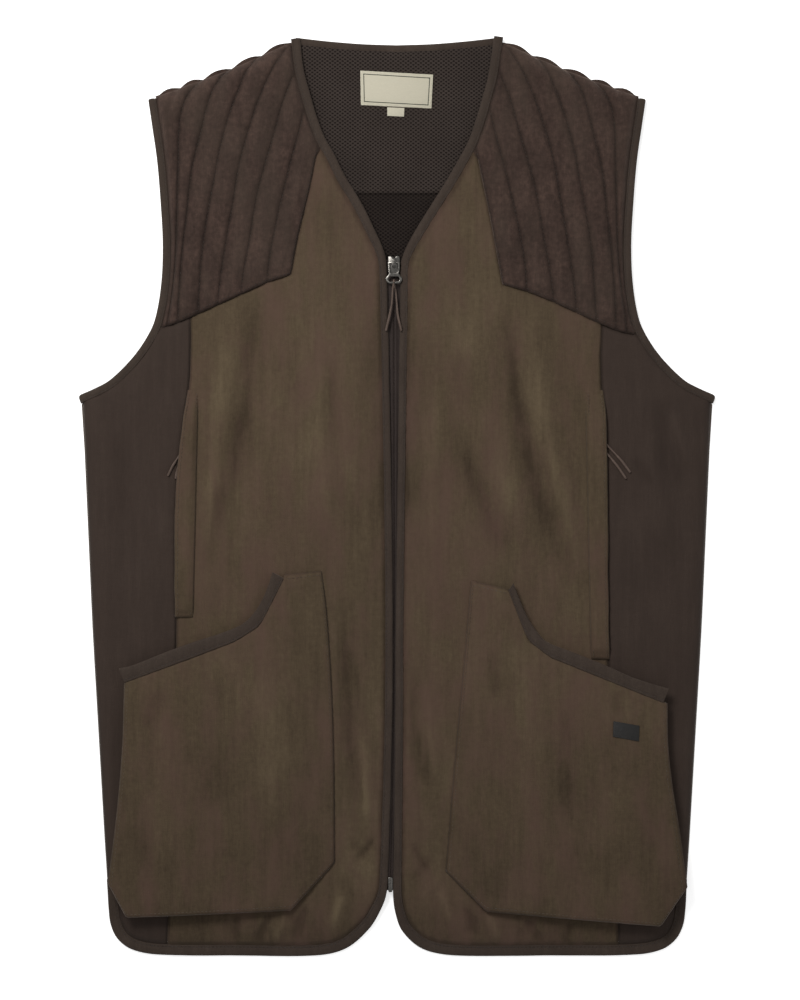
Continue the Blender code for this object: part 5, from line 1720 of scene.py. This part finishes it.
@dataclass
class ShoulderPatch(SidePart):
    """One side's quilted shoulder patch."""

    columns_a_channel: int = 12
    rows: int = 116
    crowding: float = 1.4
    broad: Uneven = Uneven(0.5, 18.0, 2.2)
    fine: Uneven = Uneven(0.25, 6.5)
    tone_shift: Uneven = Uneven(0.2, 9.0, 3.0)
    rails: list[Array] = field(init=False)

    def __post_init__(self) -> None:
        """Works out the patch's lines, from the armhole inwards."""
        name = self.name
        feet = hem_feet(self.side)
        edge = self.lie.edge_tucked[:, :2]
        armhole = ARMHOLE_TUCKED[::-1]
        keep = (armhole[:, 1] > PATCH_HEM[name][0][1] + 4) & (armhole[:, 1] < TIP[1] - 4)
        self.rails = [np.vstack([TIP, armhole[keep], feet[:1]])]
        for rows, foot in zip(CHANNELS, feet[1:]):
            line = smooth(rows)
            if line[0, 0] < SHOULDER[0][0] - 1.0:
                line[0] = nearest(edge, line[:1]).point[0]
            kept = line[:-1][line[:-1, 1] > foot[1] + 3.0]
            self.rails.append(np.vstack([kept, foot]))
        inner = smooth(PATCH_INNER[name])
        inner[0] = nearest(edge, inner[:1]).point[0] + [0.2, 0.6]
        self.rails.append(inner)

    @property
    def strips(self) -> int:
        """How many channels lie side by side."""
        return len(self.rails) - 1

    def across_strip(self, u: Array, v: Array) -> tuple[Array, Array, Array, Array]:
        """Where each pair of shares lies between two of the patch's lines.

        Args:
            u: Shares across.
            v: Shares down.

        Returns:
            The strip's number, the share across it, and the points of its two lines.
        """
        number = np.minimum((u * self.strips + 1e-6).astype(int), self.strips - 1)
        start, end = np.zeros((len(v), 2)), np.zeros((len(v), 2))
        for k, rail in enumerate(self.rails):
            start[number == k] = along(rail)(v[number == k])
            end[number + 1 == k] = along(rail)(v[number + 1 == k])
        return number, np.clip(u * self.strips - number, 0, 1), start, end

    def swell(self, number: Array, t: Array, v: Array, power: float) -> Array:
        """The rise between two channels, 0 in a channel and 1 on a crest.

        Args:
            number: The strips' numbers.
            t: Shares across each strip.
            v: Shares down.
            power: How full the crests are.

        Returns:
            The rise.
        """
        one = np.abs(np.sin(math.pi * t)) ** power
        two = np.abs(np.sin(2 * math.pi * t)) ** power
        short = two + (one - two) * ease(v / 0.15)
        return np.where(number > 0, one, short)

    def place(self, u: Array, v: Array) -> Array:
        """The (out, up) of each pair of shares.

        Args:
            u: Shares across.
            v: Shares down.

        Returns:
            Rows of (out, up).
        """
        v = v ** self.crowding
        number, t, start, end = self.across_strip(u, v)
        spots = start + (end - start) * t[:, None]
        lift = CHANNEL_SCALLOP * self.swell(number, t, v, 1.0) * (1 - ease(v / 0.08))
        scalloped = spots + np.array([0.4, 0.92]) * lift[:, None]
        on_edge = nearest(self.lie.edge_tucked[:, :2], spots).point
        pulled = spots + (on_edge - spots) * (1 - ease(v / 0.03))[:, None]
        return np.where((number < 4)[:, None], scalloped, pulled)

    def height(self, u: Array, v: Array, spots: Array) -> Array:
        """The quilted height: padded crests, sewn valleys, and small gathers across them.

        Args:
            u: Shares across.
            v: Shares down.
            spots: Rows of (out, up).

        Returns:
            The height at each spot.
        """
        name, seed = self.name, self.seed
        v = v ** self.crowding
        number, t, start, end = self.across_strip(u, v)
        width = np.linalg.norm(end - start, axis=1)
        crest = CHANNEL_CREST * (1 - np.exp(-width / 12.0))
        hem = nearest(smooth(PATCH_HEM[name]), spots)
        inner = nearest(smooth(PATCH_INNER[name]), spots)
        to_seam = np.minimum(hem.distance, inner.distance) / 10.0
        shoulder = ease(nearest(SHOULDER_LINE, spots).distance / 18.0)
        fade = (0.35 + 0.65 * ease(to_seam)) * (0.5 + 0.5 * shoulder)
        to_binding = np.minimum.reduce(
            [nearest(line, spots).inside for line in (self.lie.edge_inner, ARMHOLE_INNER)]
        )
        clear = ease((to_binding + 0.6) / 5.0)
        height = self.lie.height(spots, uneven=False) + 0.5 * clear
        height += crest * fade * self.swell(number, t, v, 0.62) * clear
        to_valley = np.minimum(t, 1 - t) * width
        gathers = np.sin(spots[:, 1] / 5.2 + 3.0 * drift(spots, 16.0, seed))
        gathers *= 0.6 + drift(spots, 21.0, seed)
        height += 0.5 * gathers * np.exp(-((to_valley - 3.0) / 3.4) ** 2) * ease(v / 0.1) * clear
        height += (self.broad.over(spots, seed + 1.0) + self.fine.over(spots, seed + 4.0)) * clear
        edge_roll = rise(np.minimum(hem.distance, inner.distance), -0.9, 0.0, 2.0)
        return height + edge_roll

    def nap_and_painted_light(self, spots: Array) -> Array:
        """The suede's uneven tone, with painted shade along the sewn channels and round the patch's edges.

        Args:
            spots: Rows of (out, up).

        Returns:
            The tone and painted shade at each spot.
        """
        tone_shift = self.tone_shift.over(spots, self.seed + 7.0)
        # Painted shade along the quilting channels and beside the bindings and the patch's own edges.
        lines = sum(seam_shade(nearest(rail, spots), 1.5) for rail in self.rails[1:-1])
        rims = (nearest(self.lie.edge_inner, spots), nearest(ARMHOLE_INNER, spots),
                nearest(self.lie.patch_line, spots))
        return tone_shift - 0.5 * lines - sum(0.6 * seam_shade(rim, 1.4) for rim in rims)

    def build(self) -> None:
        """Builds the patch and its stitched channels."""
        side = self.side
        patch = cloth(
            f"quilted_patch_{side.value}", side, (self.columns_a_channel * self.strips, self.rows),
            self.place, self.height, SUEDE,
            [f"shoulder_patch_{side.value}"], nap_and_painted_light=self.nap_and_painted_light,
        )
        runs = []
        steps = np.linspace(0.02, 0.985, 90)
        for number in range(1, self.strips):
            u = np.full(90, number / self.strips)
            down = steps if number < 4 else 0.11 + 0.88 * steps
            runs.append(sewn_line(side, self.place, self.height, u, down))
        rims = (
            (np.linspace(0.02, 0.99, 120), np.full(120, 0.99)),
            (np.full(80, 0.991), np.linspace(0.14, 0.99, 80)),
        )
        runs += [sewn_line(side, self.place, self.height, u, v, 0.2) for u, v in rims]
        Thread(length=2.2, gap=1.1, thickness=0.42).sew(
            f"quilting_{side.value}", runs, QUILT_THREAD
        )


@dataclass
class EdgeBinding(SidePart):
    """One side's long binding, from the neck point down the front and round the hem."""

    step: float = 3.0

    def build(self) -> None:
        """Builds the strip and its stitching."""
        side = self.side
        line = smooth(FRONT_EDGE[side.value], self.step)
        inner = inward(line, 0.0)
        uneven = 0.22 * drift(line, 17.0, side.seed) + 0.15 * drift(line, 7.0, side.seed + 3.0)
        middle = line[:, 3] + uneven
        wander = 0.25 * drift(line, 30.0, side.seed + 6.0)[:, None]
        away = (inner - line)[:, :2]
        away /= np.linalg.norm(away, axis=1, keepdims=True)
        binding_strip(
            f"front_band_{side.value}",
            side.placed(line[:, :2] + away * wander, middle),
            side.placed(inner[:, :2] + away * wander, middle),
            BINDING * (1.0 + 0.10 * drift(line, 5.0, side.seed + 11.0)),
            f"front_edge_binding_{side.value}", f"front_band_stitches_{side.value}",
        )


@dataclass
class ArmholeBinding(SidePart):
    """One loop of binding round an armhole, folded over at the shoulder tip and the underarm."""

    step: float = 3.2
    underarm: tuple[float, float] = (0.85, -0.52)

    def stations(self) -> tuple[Array, Array, Array]:
        """The outer and inner points and the facing of each station of the loop.

        Returns:
            The outer points, the inner points and the facings.
        """
        line = smooth(ARMHOLE, self.step)
        inner = inward(line, ARMHOLE_BINDING_WIDTH)
        blend = ease(1 - travelled(line) / 26.0)[:, None]
        below = line + [-1.8, -ARMHOLE_BINDING_WIDTH + 0.2]
        inner = inner * (1 - blend) + below * blend
        middle = (FRONT_BINDING_MIDDLE + BACK_BINDING_MIDDLE) / 2
        radius = (FRONT_BINDING_MIDDLE - BACK_BINDING_MIDDLE) / 2
        tip = (line[-1] - line[-2]) / np.linalg.norm(line[-1] - line[-2])
        parts = []

        def run(a: Array, b: Array, direction: Array, degrees: float) -> None:
            """Adds stations with one facing.

            Args:
                a: The outer points.
                b: The inner points.
                direction: Which way the facing turns.
                degrees: How far it turns from straight up.
            """
            angle = math.radians(degrees)
            facing = np.append(direction * math.sin(angle), math.cos(angle))
            centre = np.array([0.0, 0.0, middle]) + facing * radius
            for p, q in zip(np.atleast_2d(a), np.atleast_2d(b)):
                parts.append((np.append(p, 0.0) + centre, np.append(q, 0.0) + centre, facing))

        run(line, inner, tip, 0.0)
        for degrees in (30, 60, 90, 120, 150):
            run(line[-1], inner[-1], tip, degrees)
        run(line[::-1], inner[::-1], tip, 180.0)
        for degrees in (150, 120, 90, 60, 30):
            run(line[0], inner[0], np.array(self.underarm), degrees)
        return tuple(np.array(column) for column in zip(*parts))

    def build(self) -> None:
        """Builds the loop and its stitching."""
        outer, inner, facing = self.stations()
        flip = np.array([self.side.sign, 1.0, 1.0])
        seed = self.seed
        wave = 0.2 * drift(outer[:, :2], 15.0, seed) + 0.12 * drift(outer[:, :2], 6.0, seed + 2.0)
        lifted = np.where(facing[:, 2] > 0.9, wave, 0.0)[:, None] * [0.0, 0.0, 1.0]
        thickness = BINDING * (1.0 + 0.08 * drift(outer[:, :2], 5.0, seed + 5.0))
        binding_strip(
            f"armhole_band_{self.name}", (outer + lifted) * flip, (inner + lifted) * flip, thickness,
            f"armhole_binding_{self.name}", f"armhole_stitches_{self.name}",
            facing * flip, facing[:, 2] > 0.99,
        )


@dataclass
class Welt(SidePart):
    """The welt over one side zip, with the zip's slider and lace ends under it."""

    cells: tuple[int, int] = (14, 90)
    waves: Uneven = Uneven(0.22, 12.0, 1.6)
    stations: int = 80

    def stand_off(self, v: Array, up: Array) -> Array:
        """How far the free edge stands off, most over the slider and least at the ends."""
        over = np.exp(-(((up - SIDE_SLIDER_UP[self.name] + 4.0) / 18.0) ** 2))
        return (WELT_LIFT + 1.2 * over) * (0.25 + 0.75 * ease(np.minimum(v / 0.12, (1 - v) / 0.05)))

    def place(self, u: Array, v: Array) -> Array:
        """From the free edge to the stitched edge.

        Args:
            u: Shares across.
            v: Shares down.

        Returns:
            Rows of (out, up).
        """
        top, bottom, stitched_top, stitched_bottom = WELT[self.name]
        up = top + (bottom - top) * v
        stitched = stitched_top + (stitched_bottom - stitched_top) * v
        seam = np.interp(up, self.lie.seam[::-1, 1], self.lie.seam[::-1, 0])
        free = seam + 1.2 + 0.5 * drift(np.column_stack([up, up]), 24.0, self.seed)
        return np.column_stack([free + (stitched - free) * u, up])

    def height(self, u: Array, v: Array, spots: Array) -> Array:
        """The welt's outer face, standing off over the slider and rolled at its edges.

        Args:
            u: Shares across.
            v: Shares down.
            spots: Rows of (out, up).

        Returns:
            The height at each spot.
        """
        lift = 0.3 + self.stand_off(v, spots[:, 1]) * (1 - ease((u - 0.7) / 0.3))
        width = abs(float(spots[u < 0.01, 0].mean() - spots[u > 0.99, 0].mean()))
        roll = rise(u * width, -1.0, 0.0, 1.6) + rise((1 - u) * width, -0.9, 0.0, 1.2)
        soft = self.waves.over(spots, self.seed + 8.0)
        melt = 2.4 * (1 - ease(v / 0.12)) + 1.3 * (1 - ease((1 - v) / 0.04))
        return FRONT_TOP + lift + CLOTH - 0.2 + roll + soft - melt

    def build(self) -> None:
        """Builds the welt, its stitching, the slider and the two lace ends."""
        side, name = self.side, self.name
        # The welt's colour takes the front's painted fold highlights and painted shade, a little darker
        # overall.
        cloth(
            f"welt_cloth_{name}", side, self.cells, self.place, self.height, OLIVE, [f"welt_{name}"],
            nap_and_painted_light=lambda spots: 0.7 * relief(FOLD_LIGHT_AND_SHADE[name], spots) - 0.05, wall=CLOTH - 0.2,
        )
        steps = np.linspace(0.01, 0.99, self.stations)
        stitched = self.place(np.full(self.stations, 0.86), steps)
        free = self.place(np.full(self.stations, 0.16), steps)
        base = FRONT_TOP + CLOTH + 0.25
        runs = [
            side.placed(stitched, np.full(self.stations, base + 0.45)),
            side.placed(free, base + self.stand_off(steps, free[:, 1])),
        ]
        Thread().sew(f"welt_stitches_{name}", runs, OLIVE_THREAD)
        softened(f"side_zip_slider_{name}", f"side_slider_{name}", 0.3, METAL)
        for number, rows in enumerate(SIDE_LACES[name], start=1):
            points = smooth(rows, 1.6) * [side.sign, 1.0, 1.0]
            lay_lace(f"side_pull_{name}_{number}", points, f"side_lace_{name}_{number}")


def lay_lace(name: str, points: Array, node: str, body: Body = Body.GILET) -> None:
    """A free lace end along its points, thicker at its cut tip.

    Args:
        name: The piece's name.
        points: Its middle line, in millimetres.
        node: The solid it stands for.
        body: The rigid body it rides on.
    """
    share = travelled(points) / travelled(points)[-1]
    radius = LACE / 2 * (1.0 + 0.3 * ease((share - 0.5) / 0.06) - 0.3 * ease((share - 0.97) / 0.03))
    piece = tube(name, points, radius, WAXED_LACE, [node], body=body)
    float(travelled(points)[-1] * MM)


@dataclass
class CargoPocket(SidePart):
    """One cargo pocket: its face, folded gusset, mouth binding and stitching."""

    cells: tuple[int, int] = (84, 108)
    middle: tuple[float, float] = (150.0, -230.0)
    mouth_binding: float = 2.5
    stitch_inset: tuple[float, float] = (0.017, 0.0135)
    broad: Uneven = Uneven(0.7, 40.0, 1.8)
    fine: Uneven = Uneven(0.3, 16.0)
    streaks: Uneven = Uneven(0.7, 4.0, 8.0)
    edge_gathers: Gathers = Gathers(0.3, 12.0, 6.0)

    def lift(self, u: Array, v: Array) -> Array:
        """How far the outer face stands over the front.

        Args:
            u: Shares across.
            v: Shares down.

        Returns:
            The lift.
        """
        towards_side = np.sin(math.pi / 2 * np.minimum(1.0, (1 - u) / 0.85))
        depth = POCKET_DEPTH * towards_side * (0.8 + 0.2 * v)
        return POCKET_SEAM_LIFT + depth + POCKET_BULGE * np.sin(math.pi * u) * np.sin(math.pi * v)

    def height(self, u: Array, v: Array, spots: Array) -> Array:
        """The outer face's height, rolled over at its edges.

        Args:
            u: Shares across.
            v: Shares down.
            spots: Rows of (out, up).

        Returns:
            The height at each spot.
        """
        name, seed = self.name, self.seed
        ring = nearest(self.lie.pocket_ring, spots)
        clear = ease(ring.distance / 14.0)
        height = FRONT_TOP + self.lift(u, v) + relief(POCKET_CREASES[name], spots) * (0.3 + 0.7 * clear)
        height += clear * (self.broad.over(spots, seed + 20.0) + self.fine.over(spots, seed + 24.0))
        height += self.edge_gathers.beside(ring, seed + 30.0)
        groove = -0.35 * np.exp(-(((ring.distance - 3.0) / 0.9) ** 2))
        return height + groove + rise(ring.distance, -1.3, 0.0, 2.0)

    def nap_and_painted_light(self, spots: Array) -> Array:
        """The face's painted highlights and painted shade along its creases, darker towards its bottom and
        its sewn edge.

        Args:
            spots: Rows of (out, up).

        Returns:
            The painted light and shade at each spot.
        """
        streaks = 0.75 + self.streaks.over(spots, self.seed + 60.0)
        # Painted highlights on the creases' ridges and painted shade in their troughs.
        tone_shift = 0.7 * relief(POCKET_FOLD_LIGHT_AND_SHADE[self.name], spots) * streaks
        tone_shift += 0.16 * relief(POCKET_CREASES[self.name], spots)
        # Painted shade, darker towards the bottom and beside the sewn edge.
        lower = 0.22 * ease((-150.0 - spots[:, 1]) / 200.0)
        return tone_shift - lower - 0.45 * seam_shade(nearest(self.lie.pocket_ring, spots), 1.0)

    def face(self) -> None:
        """The face and its topstitching."""
        side, name = self.side, self.name
        place = self.lie.pocket_place()
        face = cloth(
            f"pocket_cloth_{name}", side, self.cells, place, self.height, OLIVE, [f"pocket_face_{name}"],
            nap_and_painted_light=self.nap_and_painted_light,
        )
        steps = np.linspace(0, 1, 140)
        inset_u, inset_v = self.stitch_inset
        paths = [
            (np.full(140, inset_u), 0.02 + 0.965 * steps),
            (inset_u + (1 - 2 * inset_u) * steps, np.full(140, 1 - inset_v)),
            (np.full(140, 1 - inset_u), 0.01 + 0.975 * steps),
            (0.72 + 0.26 * steps, np.full(140, inset_v)),
        ]
        runs = [sewn_line(side, place, self.height, u, v) for u, v in paths]
        Thread().sew(f"pocket_stitches_{name}", runs, OLIVE_THREAD)

    def mouth(self) -> None:
        """The binding of the mouth."""
        side, name = self.side, self.name
        place = self.lie.pocket_place()
        upper = smooth(MOUTH_UPPER[name], 3.0)
        shares = np.linspace(0, 0.72, 400)
        rim = place(shares, np.zeros(400))
        apart = np.linalg.norm(upper[:, None, :] - rim[None, :, :], axis=2)
        u = shares[apart.argmin(1)]
        foot = rim[apart.argmin(1)]
        reach = foot - upper
        span = np.linalg.norm(reach, axis=1, keepdims=True)
        lower = upper + reach * (span + 1.2) / span
        middle = FRONT_TOP + self.lift(u, np.zeros(len(u))) - CLOTH / 2 + 0.25
        middle += 0.25 * drift(upper, 20.0, side.seed + 40.0)
        thickness = self.mouth_binding * (1.0 + 0.08 * drift(upper, 6.0, side.seed + 44.0))
        binding_strip(
            f"pocket_band_{name}", side.placed(upper, middle), side.placed(lower, middle), thickness,
            f"pocket_mouth_binding_{name}", f"pocket_band_stitches_{name}",
        )

    def gusset(self) -> None:
        """The bellows gusset, folded once inwards under the face's free edges."""
        side, name = self.side, self.name
        place = self.lie.pocket_place()
        down = np.linspace(0.125, 1.0, 44)
        inwards = np.linspace(0.03, 0.8, 40)
        u = np.concatenate([np.zeros(44), inwards])
        v = np.concatenate([down, np.ones(40)])
        spots = place(u, v)
        ahead = directions(spots)
        inner_way = np.column_stack([-ahead[:, 1], ahead[:, 0]])
        towards = np.array(self.middle) - spots
        inner_way *= np.sign((inner_way * towards).sum(1))[:, None]
        padded = np.pad(inner_way, ((3, 3), (0, 0)), "edge")
        inner_way = sum(padded[k:k + len(spots)] for k in range(7)) / 7
        foot = self.lie.height(spots + inner_way * 6.0) - 0.3
        head = FRONT_TOP + self.lift(u, v) - CLOTH - 0.1
        angles = np.linspace(0, math.pi, 9)
        fold = np.column_stack([GUSSET_FOLD * np.sin(angles), angles / math.pi])
        ring = np.vstack([fold, fold[::-1] + [GUSSET_WALL, 0.0]])
        bm, shares = grid(len(ring), len(spots) - 1)
        i, j = round_stations(shares, len(ring), len(spots) - 1, len(spots))
        depth = GUSSET_INSET - 1.4 + ring[i, 0]
        flat = spots[j] + inner_way[j] * depth[:, None]
        z = foot[j] + (head - foot)[j] * ring[i, 1]
        moved_to(bm, side.placed(flat, z))
        capped(bm)
        piece = piece_from(f"gusset_cloth_{name}", bm, OLIVE,
                           [f"pocket_gusset_{name}"])

    def build(self) -> None:
        """Builds the pocket."""
        self.gusset()
        self.face()
        self.mouth()


@dataclass
class MainZip:
    """The main zip: tapes, coil, slider, bail, pull tab, lace and bottom box."""

    tooth_pitch: float = 1.35
    turn: tuple[float, float, float] = (2.3, 0.8, 0.9)
    turn_lean: float = 12.0
    ridge_waves: Uneven = Uneven(0.12, 9.0, 3.0)

    def middle(self) -> Array:
        """The zip's middle line, finely sampled."""
        return smooth(ZIP_LINE, 5.0)

    def tapes(self) -> None:
        """The two tapes, raised where they turn over the coil."""
        line = self.middle()
        for side in Side:
            bm, shares = grid(16, len(line) - 1)
            j = np.rint(shares[:, 1] * (len(line) - 1)).astype(int)
            away = 0.15 + (ZIP_TAPE_WIDTH - 0.15) * shares[:, 0] ** 1.3
            x = line[j, 0] + side.sign * away
            ridge = 0.75 * np.exp(-(((away - 1.7) / 1.1) ** 2))
            ridge += self.ridge_waves.over(np.column_stack([x, line[j, 1]]), side.seed)
            moved_to(bm, np.column_stack([x, line[j, 1], ZIP_TAPE_TOP + ridge]))
            tape = piece_from(f"tape_{side.value}", bm, TAPE,
                              [f"zip_tape_{side.value}"], wall=0.8)

    def coil(self) -> None:
        """The joined turns of the coil that show between the tapes."""
        line = self.middle()
        total = travelled(line)[-1]
        count = int((total - 20.0) / self.tooth_pitch)
        share = (16.0 + np.arange(count) * self.tooth_pitch) / total
        spots = along(line)(share)
        base = bead(self.turn)
        lean = np.where(np.arange(count) % 2 == 0, 1.0, -1.0)
        angle = np.radians(self.turn_lean) * lean
        axes = np.zeros((count, 3, 3))
        axes[:, 0] = np.column_stack([np.cos(angle), np.sin(angle), np.zeros(count)])
        axes[:, 1] = np.column_stack([-np.sin(angle), np.cos(angle), np.zeros(count)])
        axes[:, 2, 2] = 1.0
        level = np.full(count, ZIP_TAPE_TOP + 0.15)
        placed = np.column_stack([spots[:, 0] + 0.45 * lean, spots[:, 1], level])
        copies("zip_coil", base, placed, axes, TAPE)

    def hardware(self) -> None:
        """The metal pieces and the lace."""
        softened("zip_slider", "slider", 0.7, METAL, segments=3)
        softened("zip_bail", "slider_bail", 0.35, METAL, segments=3)
        softened("zip_box", "bottom_box", 0.4, METAL)
        softened("zip_pull_tab", "pull_tab_plate", 0.3, METAL, body=Body.PULL_TAB)
        angles = np.radians(np.linspace(-90, 90, 22))
        loop = np.column_stack([
            np.full(22, SLIDER_X),
            TAB_RING_BAR_Y + LACE_LOOP_RADIUS * np.cos(angles),
            PIVOT_Z + LACE_LOOP_RADIUS * np.sin(angles),
        ])
        tube("lace_loop", loop, np.full(22, LACE / 2), WAXED_LACE, ["pull_lace_loop"], body=Body.PULL_TAB)
        for node, rows in MAIN_LACES.items():
            points = smooth(rows, 1.6)
            lay_lace(node.replace("pull_lace", "lace_end"), points, node, Body.PULL_TAB)

    def build(self) -> None:
        """Builds the zip."""
        self.tapes()
        self.coil()
        self.hardware()


@dataclass
class Labels:
    """The neck label with its plain border, the size tab, and the tab on the right pocket."""

    label_top: float = 4.0
    border_inset: float = 3.0
    border_width: float = 0.8
    stitch_inset: float = 1.2

    def ring(self, inset: float, count: int) -> list[Array]:
        """The runs along the four sides of the neck label, inside its edge.

        Args:
            inset: How far inside.
            count: How many points a run has.

        Returns:
            The four runs.
        """
        corners = np.array(NECK_LABEL)
        corners = corners + np.sign(corners.mean(axis=0) - corners) * inset
        steps = np.linspace(0, 1, count)[:, None]
        level = np.full(count, self.label_top)
        ends = zip(corners, np.roll(corners, -1, axis=0))
        return [np.column_stack([a + (b - a) * steps, level]) for a, b in ends]

    def build(self) -> None:
        """Builds the labels."""
        softened("neck_label", "label_cloth", 0.25, LABEL)
        softened("size_tab", "size_cloth", 0.2, LABEL)
        softened("pocket_tab", "woven_tab", 0.25, TAB)
        Thread(length=2.6, gap=-1.2, thickness=self.border_width).sew(
            "label_border", self.ring(self.border_inset, 60), BORDER
        )
        Thread(length=2.0, gap=1.0, thickness=0.35).sew(
            "label_stitches", self.ring(self.stitch_inset, 40), LABEL
        )


@dataclass(frozen=True)
class Lamp:
    """A soft square light that looks at the garment's middle."""

    name: str
    place: Colour
    size: float
    power: float
    tint: Colour

    def hang(self) -> None:
        """Adds the light to the scene."""
        data = bpy.data.lights.new(self.name, "AREA")
        data.shape = "SQUARE"
        data.size = self.size
        data.energy = self.power
        data.color = self.tint
        lamp = bpy.data.objects.new(self.name, data)
        lamp.location = self.place
        lamp.rotation_euler = (-Vector(self.place)).to_track_quat("-Z", "Y").to_euler()
        bpy.context.scene.collection.objects.link(lamp)


@dataclass
class Studio:
    """The pale floor, the soft lights and the camera."""

    view_centre: tuple[float, float] = (0.00261, -0.00348)
    view_height: float = 0.870
    lens: float = 85.0
    sensor: float = 36.0
    garment_middle: float = 0.006
    floor_half: float = 6.0
    floor_tone: float = 0.9
    floor_glow: float = 0.6
    world_glow: float = 0.36
    key: Lamp = Lamp("key", (-0.6, 0.85, 1.3), 0.6, 19.0, (1.0, 0.99, 0.97))
    fill: Lamp = Lamp("fill", (1.3, -0.3, 1.5), 1.4, 4.0, (0.97, 0.98, 1.0))

    def build(self) -> None:
        """Builds the studio."""
        scene = bpy.context.scene
        bm = bmesh.new()
        bmesh.ops.create_grid(bm, x_segments=1, y_segments=1, size=self.floor_half)
        mesh = bpy.data.meshes.new("floor")
        bm.to_mesh(mesh)
        bm.free()
        floor = bpy.data.objects.new("floor", mesh)
        nodes = Nodes("pale floor")
        nodes.shade(
            (self.floor_tone,) * 3, 0.9, Specular_IOR_Level=0.1, Emission_Color=(1.0, 1.0, 1.0),
            Emission_Strength=self.floor_glow,
        )
        mesh.materials.append(nodes.material)
        scene.collection.objects.link(floor)

        world = bpy.data.worlds.new("studio")
        world.use_nodes = True
        background = world.node_tree.nodes["Background"]
        background.inputs["Color"].default_value = (1.0, 1.0, 1.0, 1.0)
        background.inputs["Strength"].default_value = self.world_glow
        scene.world = world
        scene.view_settings.view_transform = "Standard"
        self.key.hang()
        self.fill.hang()

        distance = self.view_height / 2 / (self.sensor / 2 / self.lens)
        camera_data = bpy.data.cameras.new("camera")
        camera_data.lens = self.lens
        camera_data.sensor_width = self.sensor
        camera = bpy.data.objects.new("camera", camera_data)
        camera.location = (*self.view_centre, distance + self.garment_middle)
        camera.rotation_euler = Euler((0.0, 0.0, 0.0))
        scene.collection.objects.link(camera)
        scene.camera = camera


def main() -> None:
    """Builds the studio and every part of the garment."""
    logging.basicConfig(level=logging.INFO, format="%(name)s: %(message)s")
    Studio().build()
    Back().build()
    for side in Side:
        lie = Lie(side)
        for part in (FrontHalf, ShoulderPatch, EdgeBinding, ArmholeBinding, Welt, CargoPocket):
            part(lie).build()
    MainZip().build()
    Labels().build()


if __name__ == "__main__":
    main()
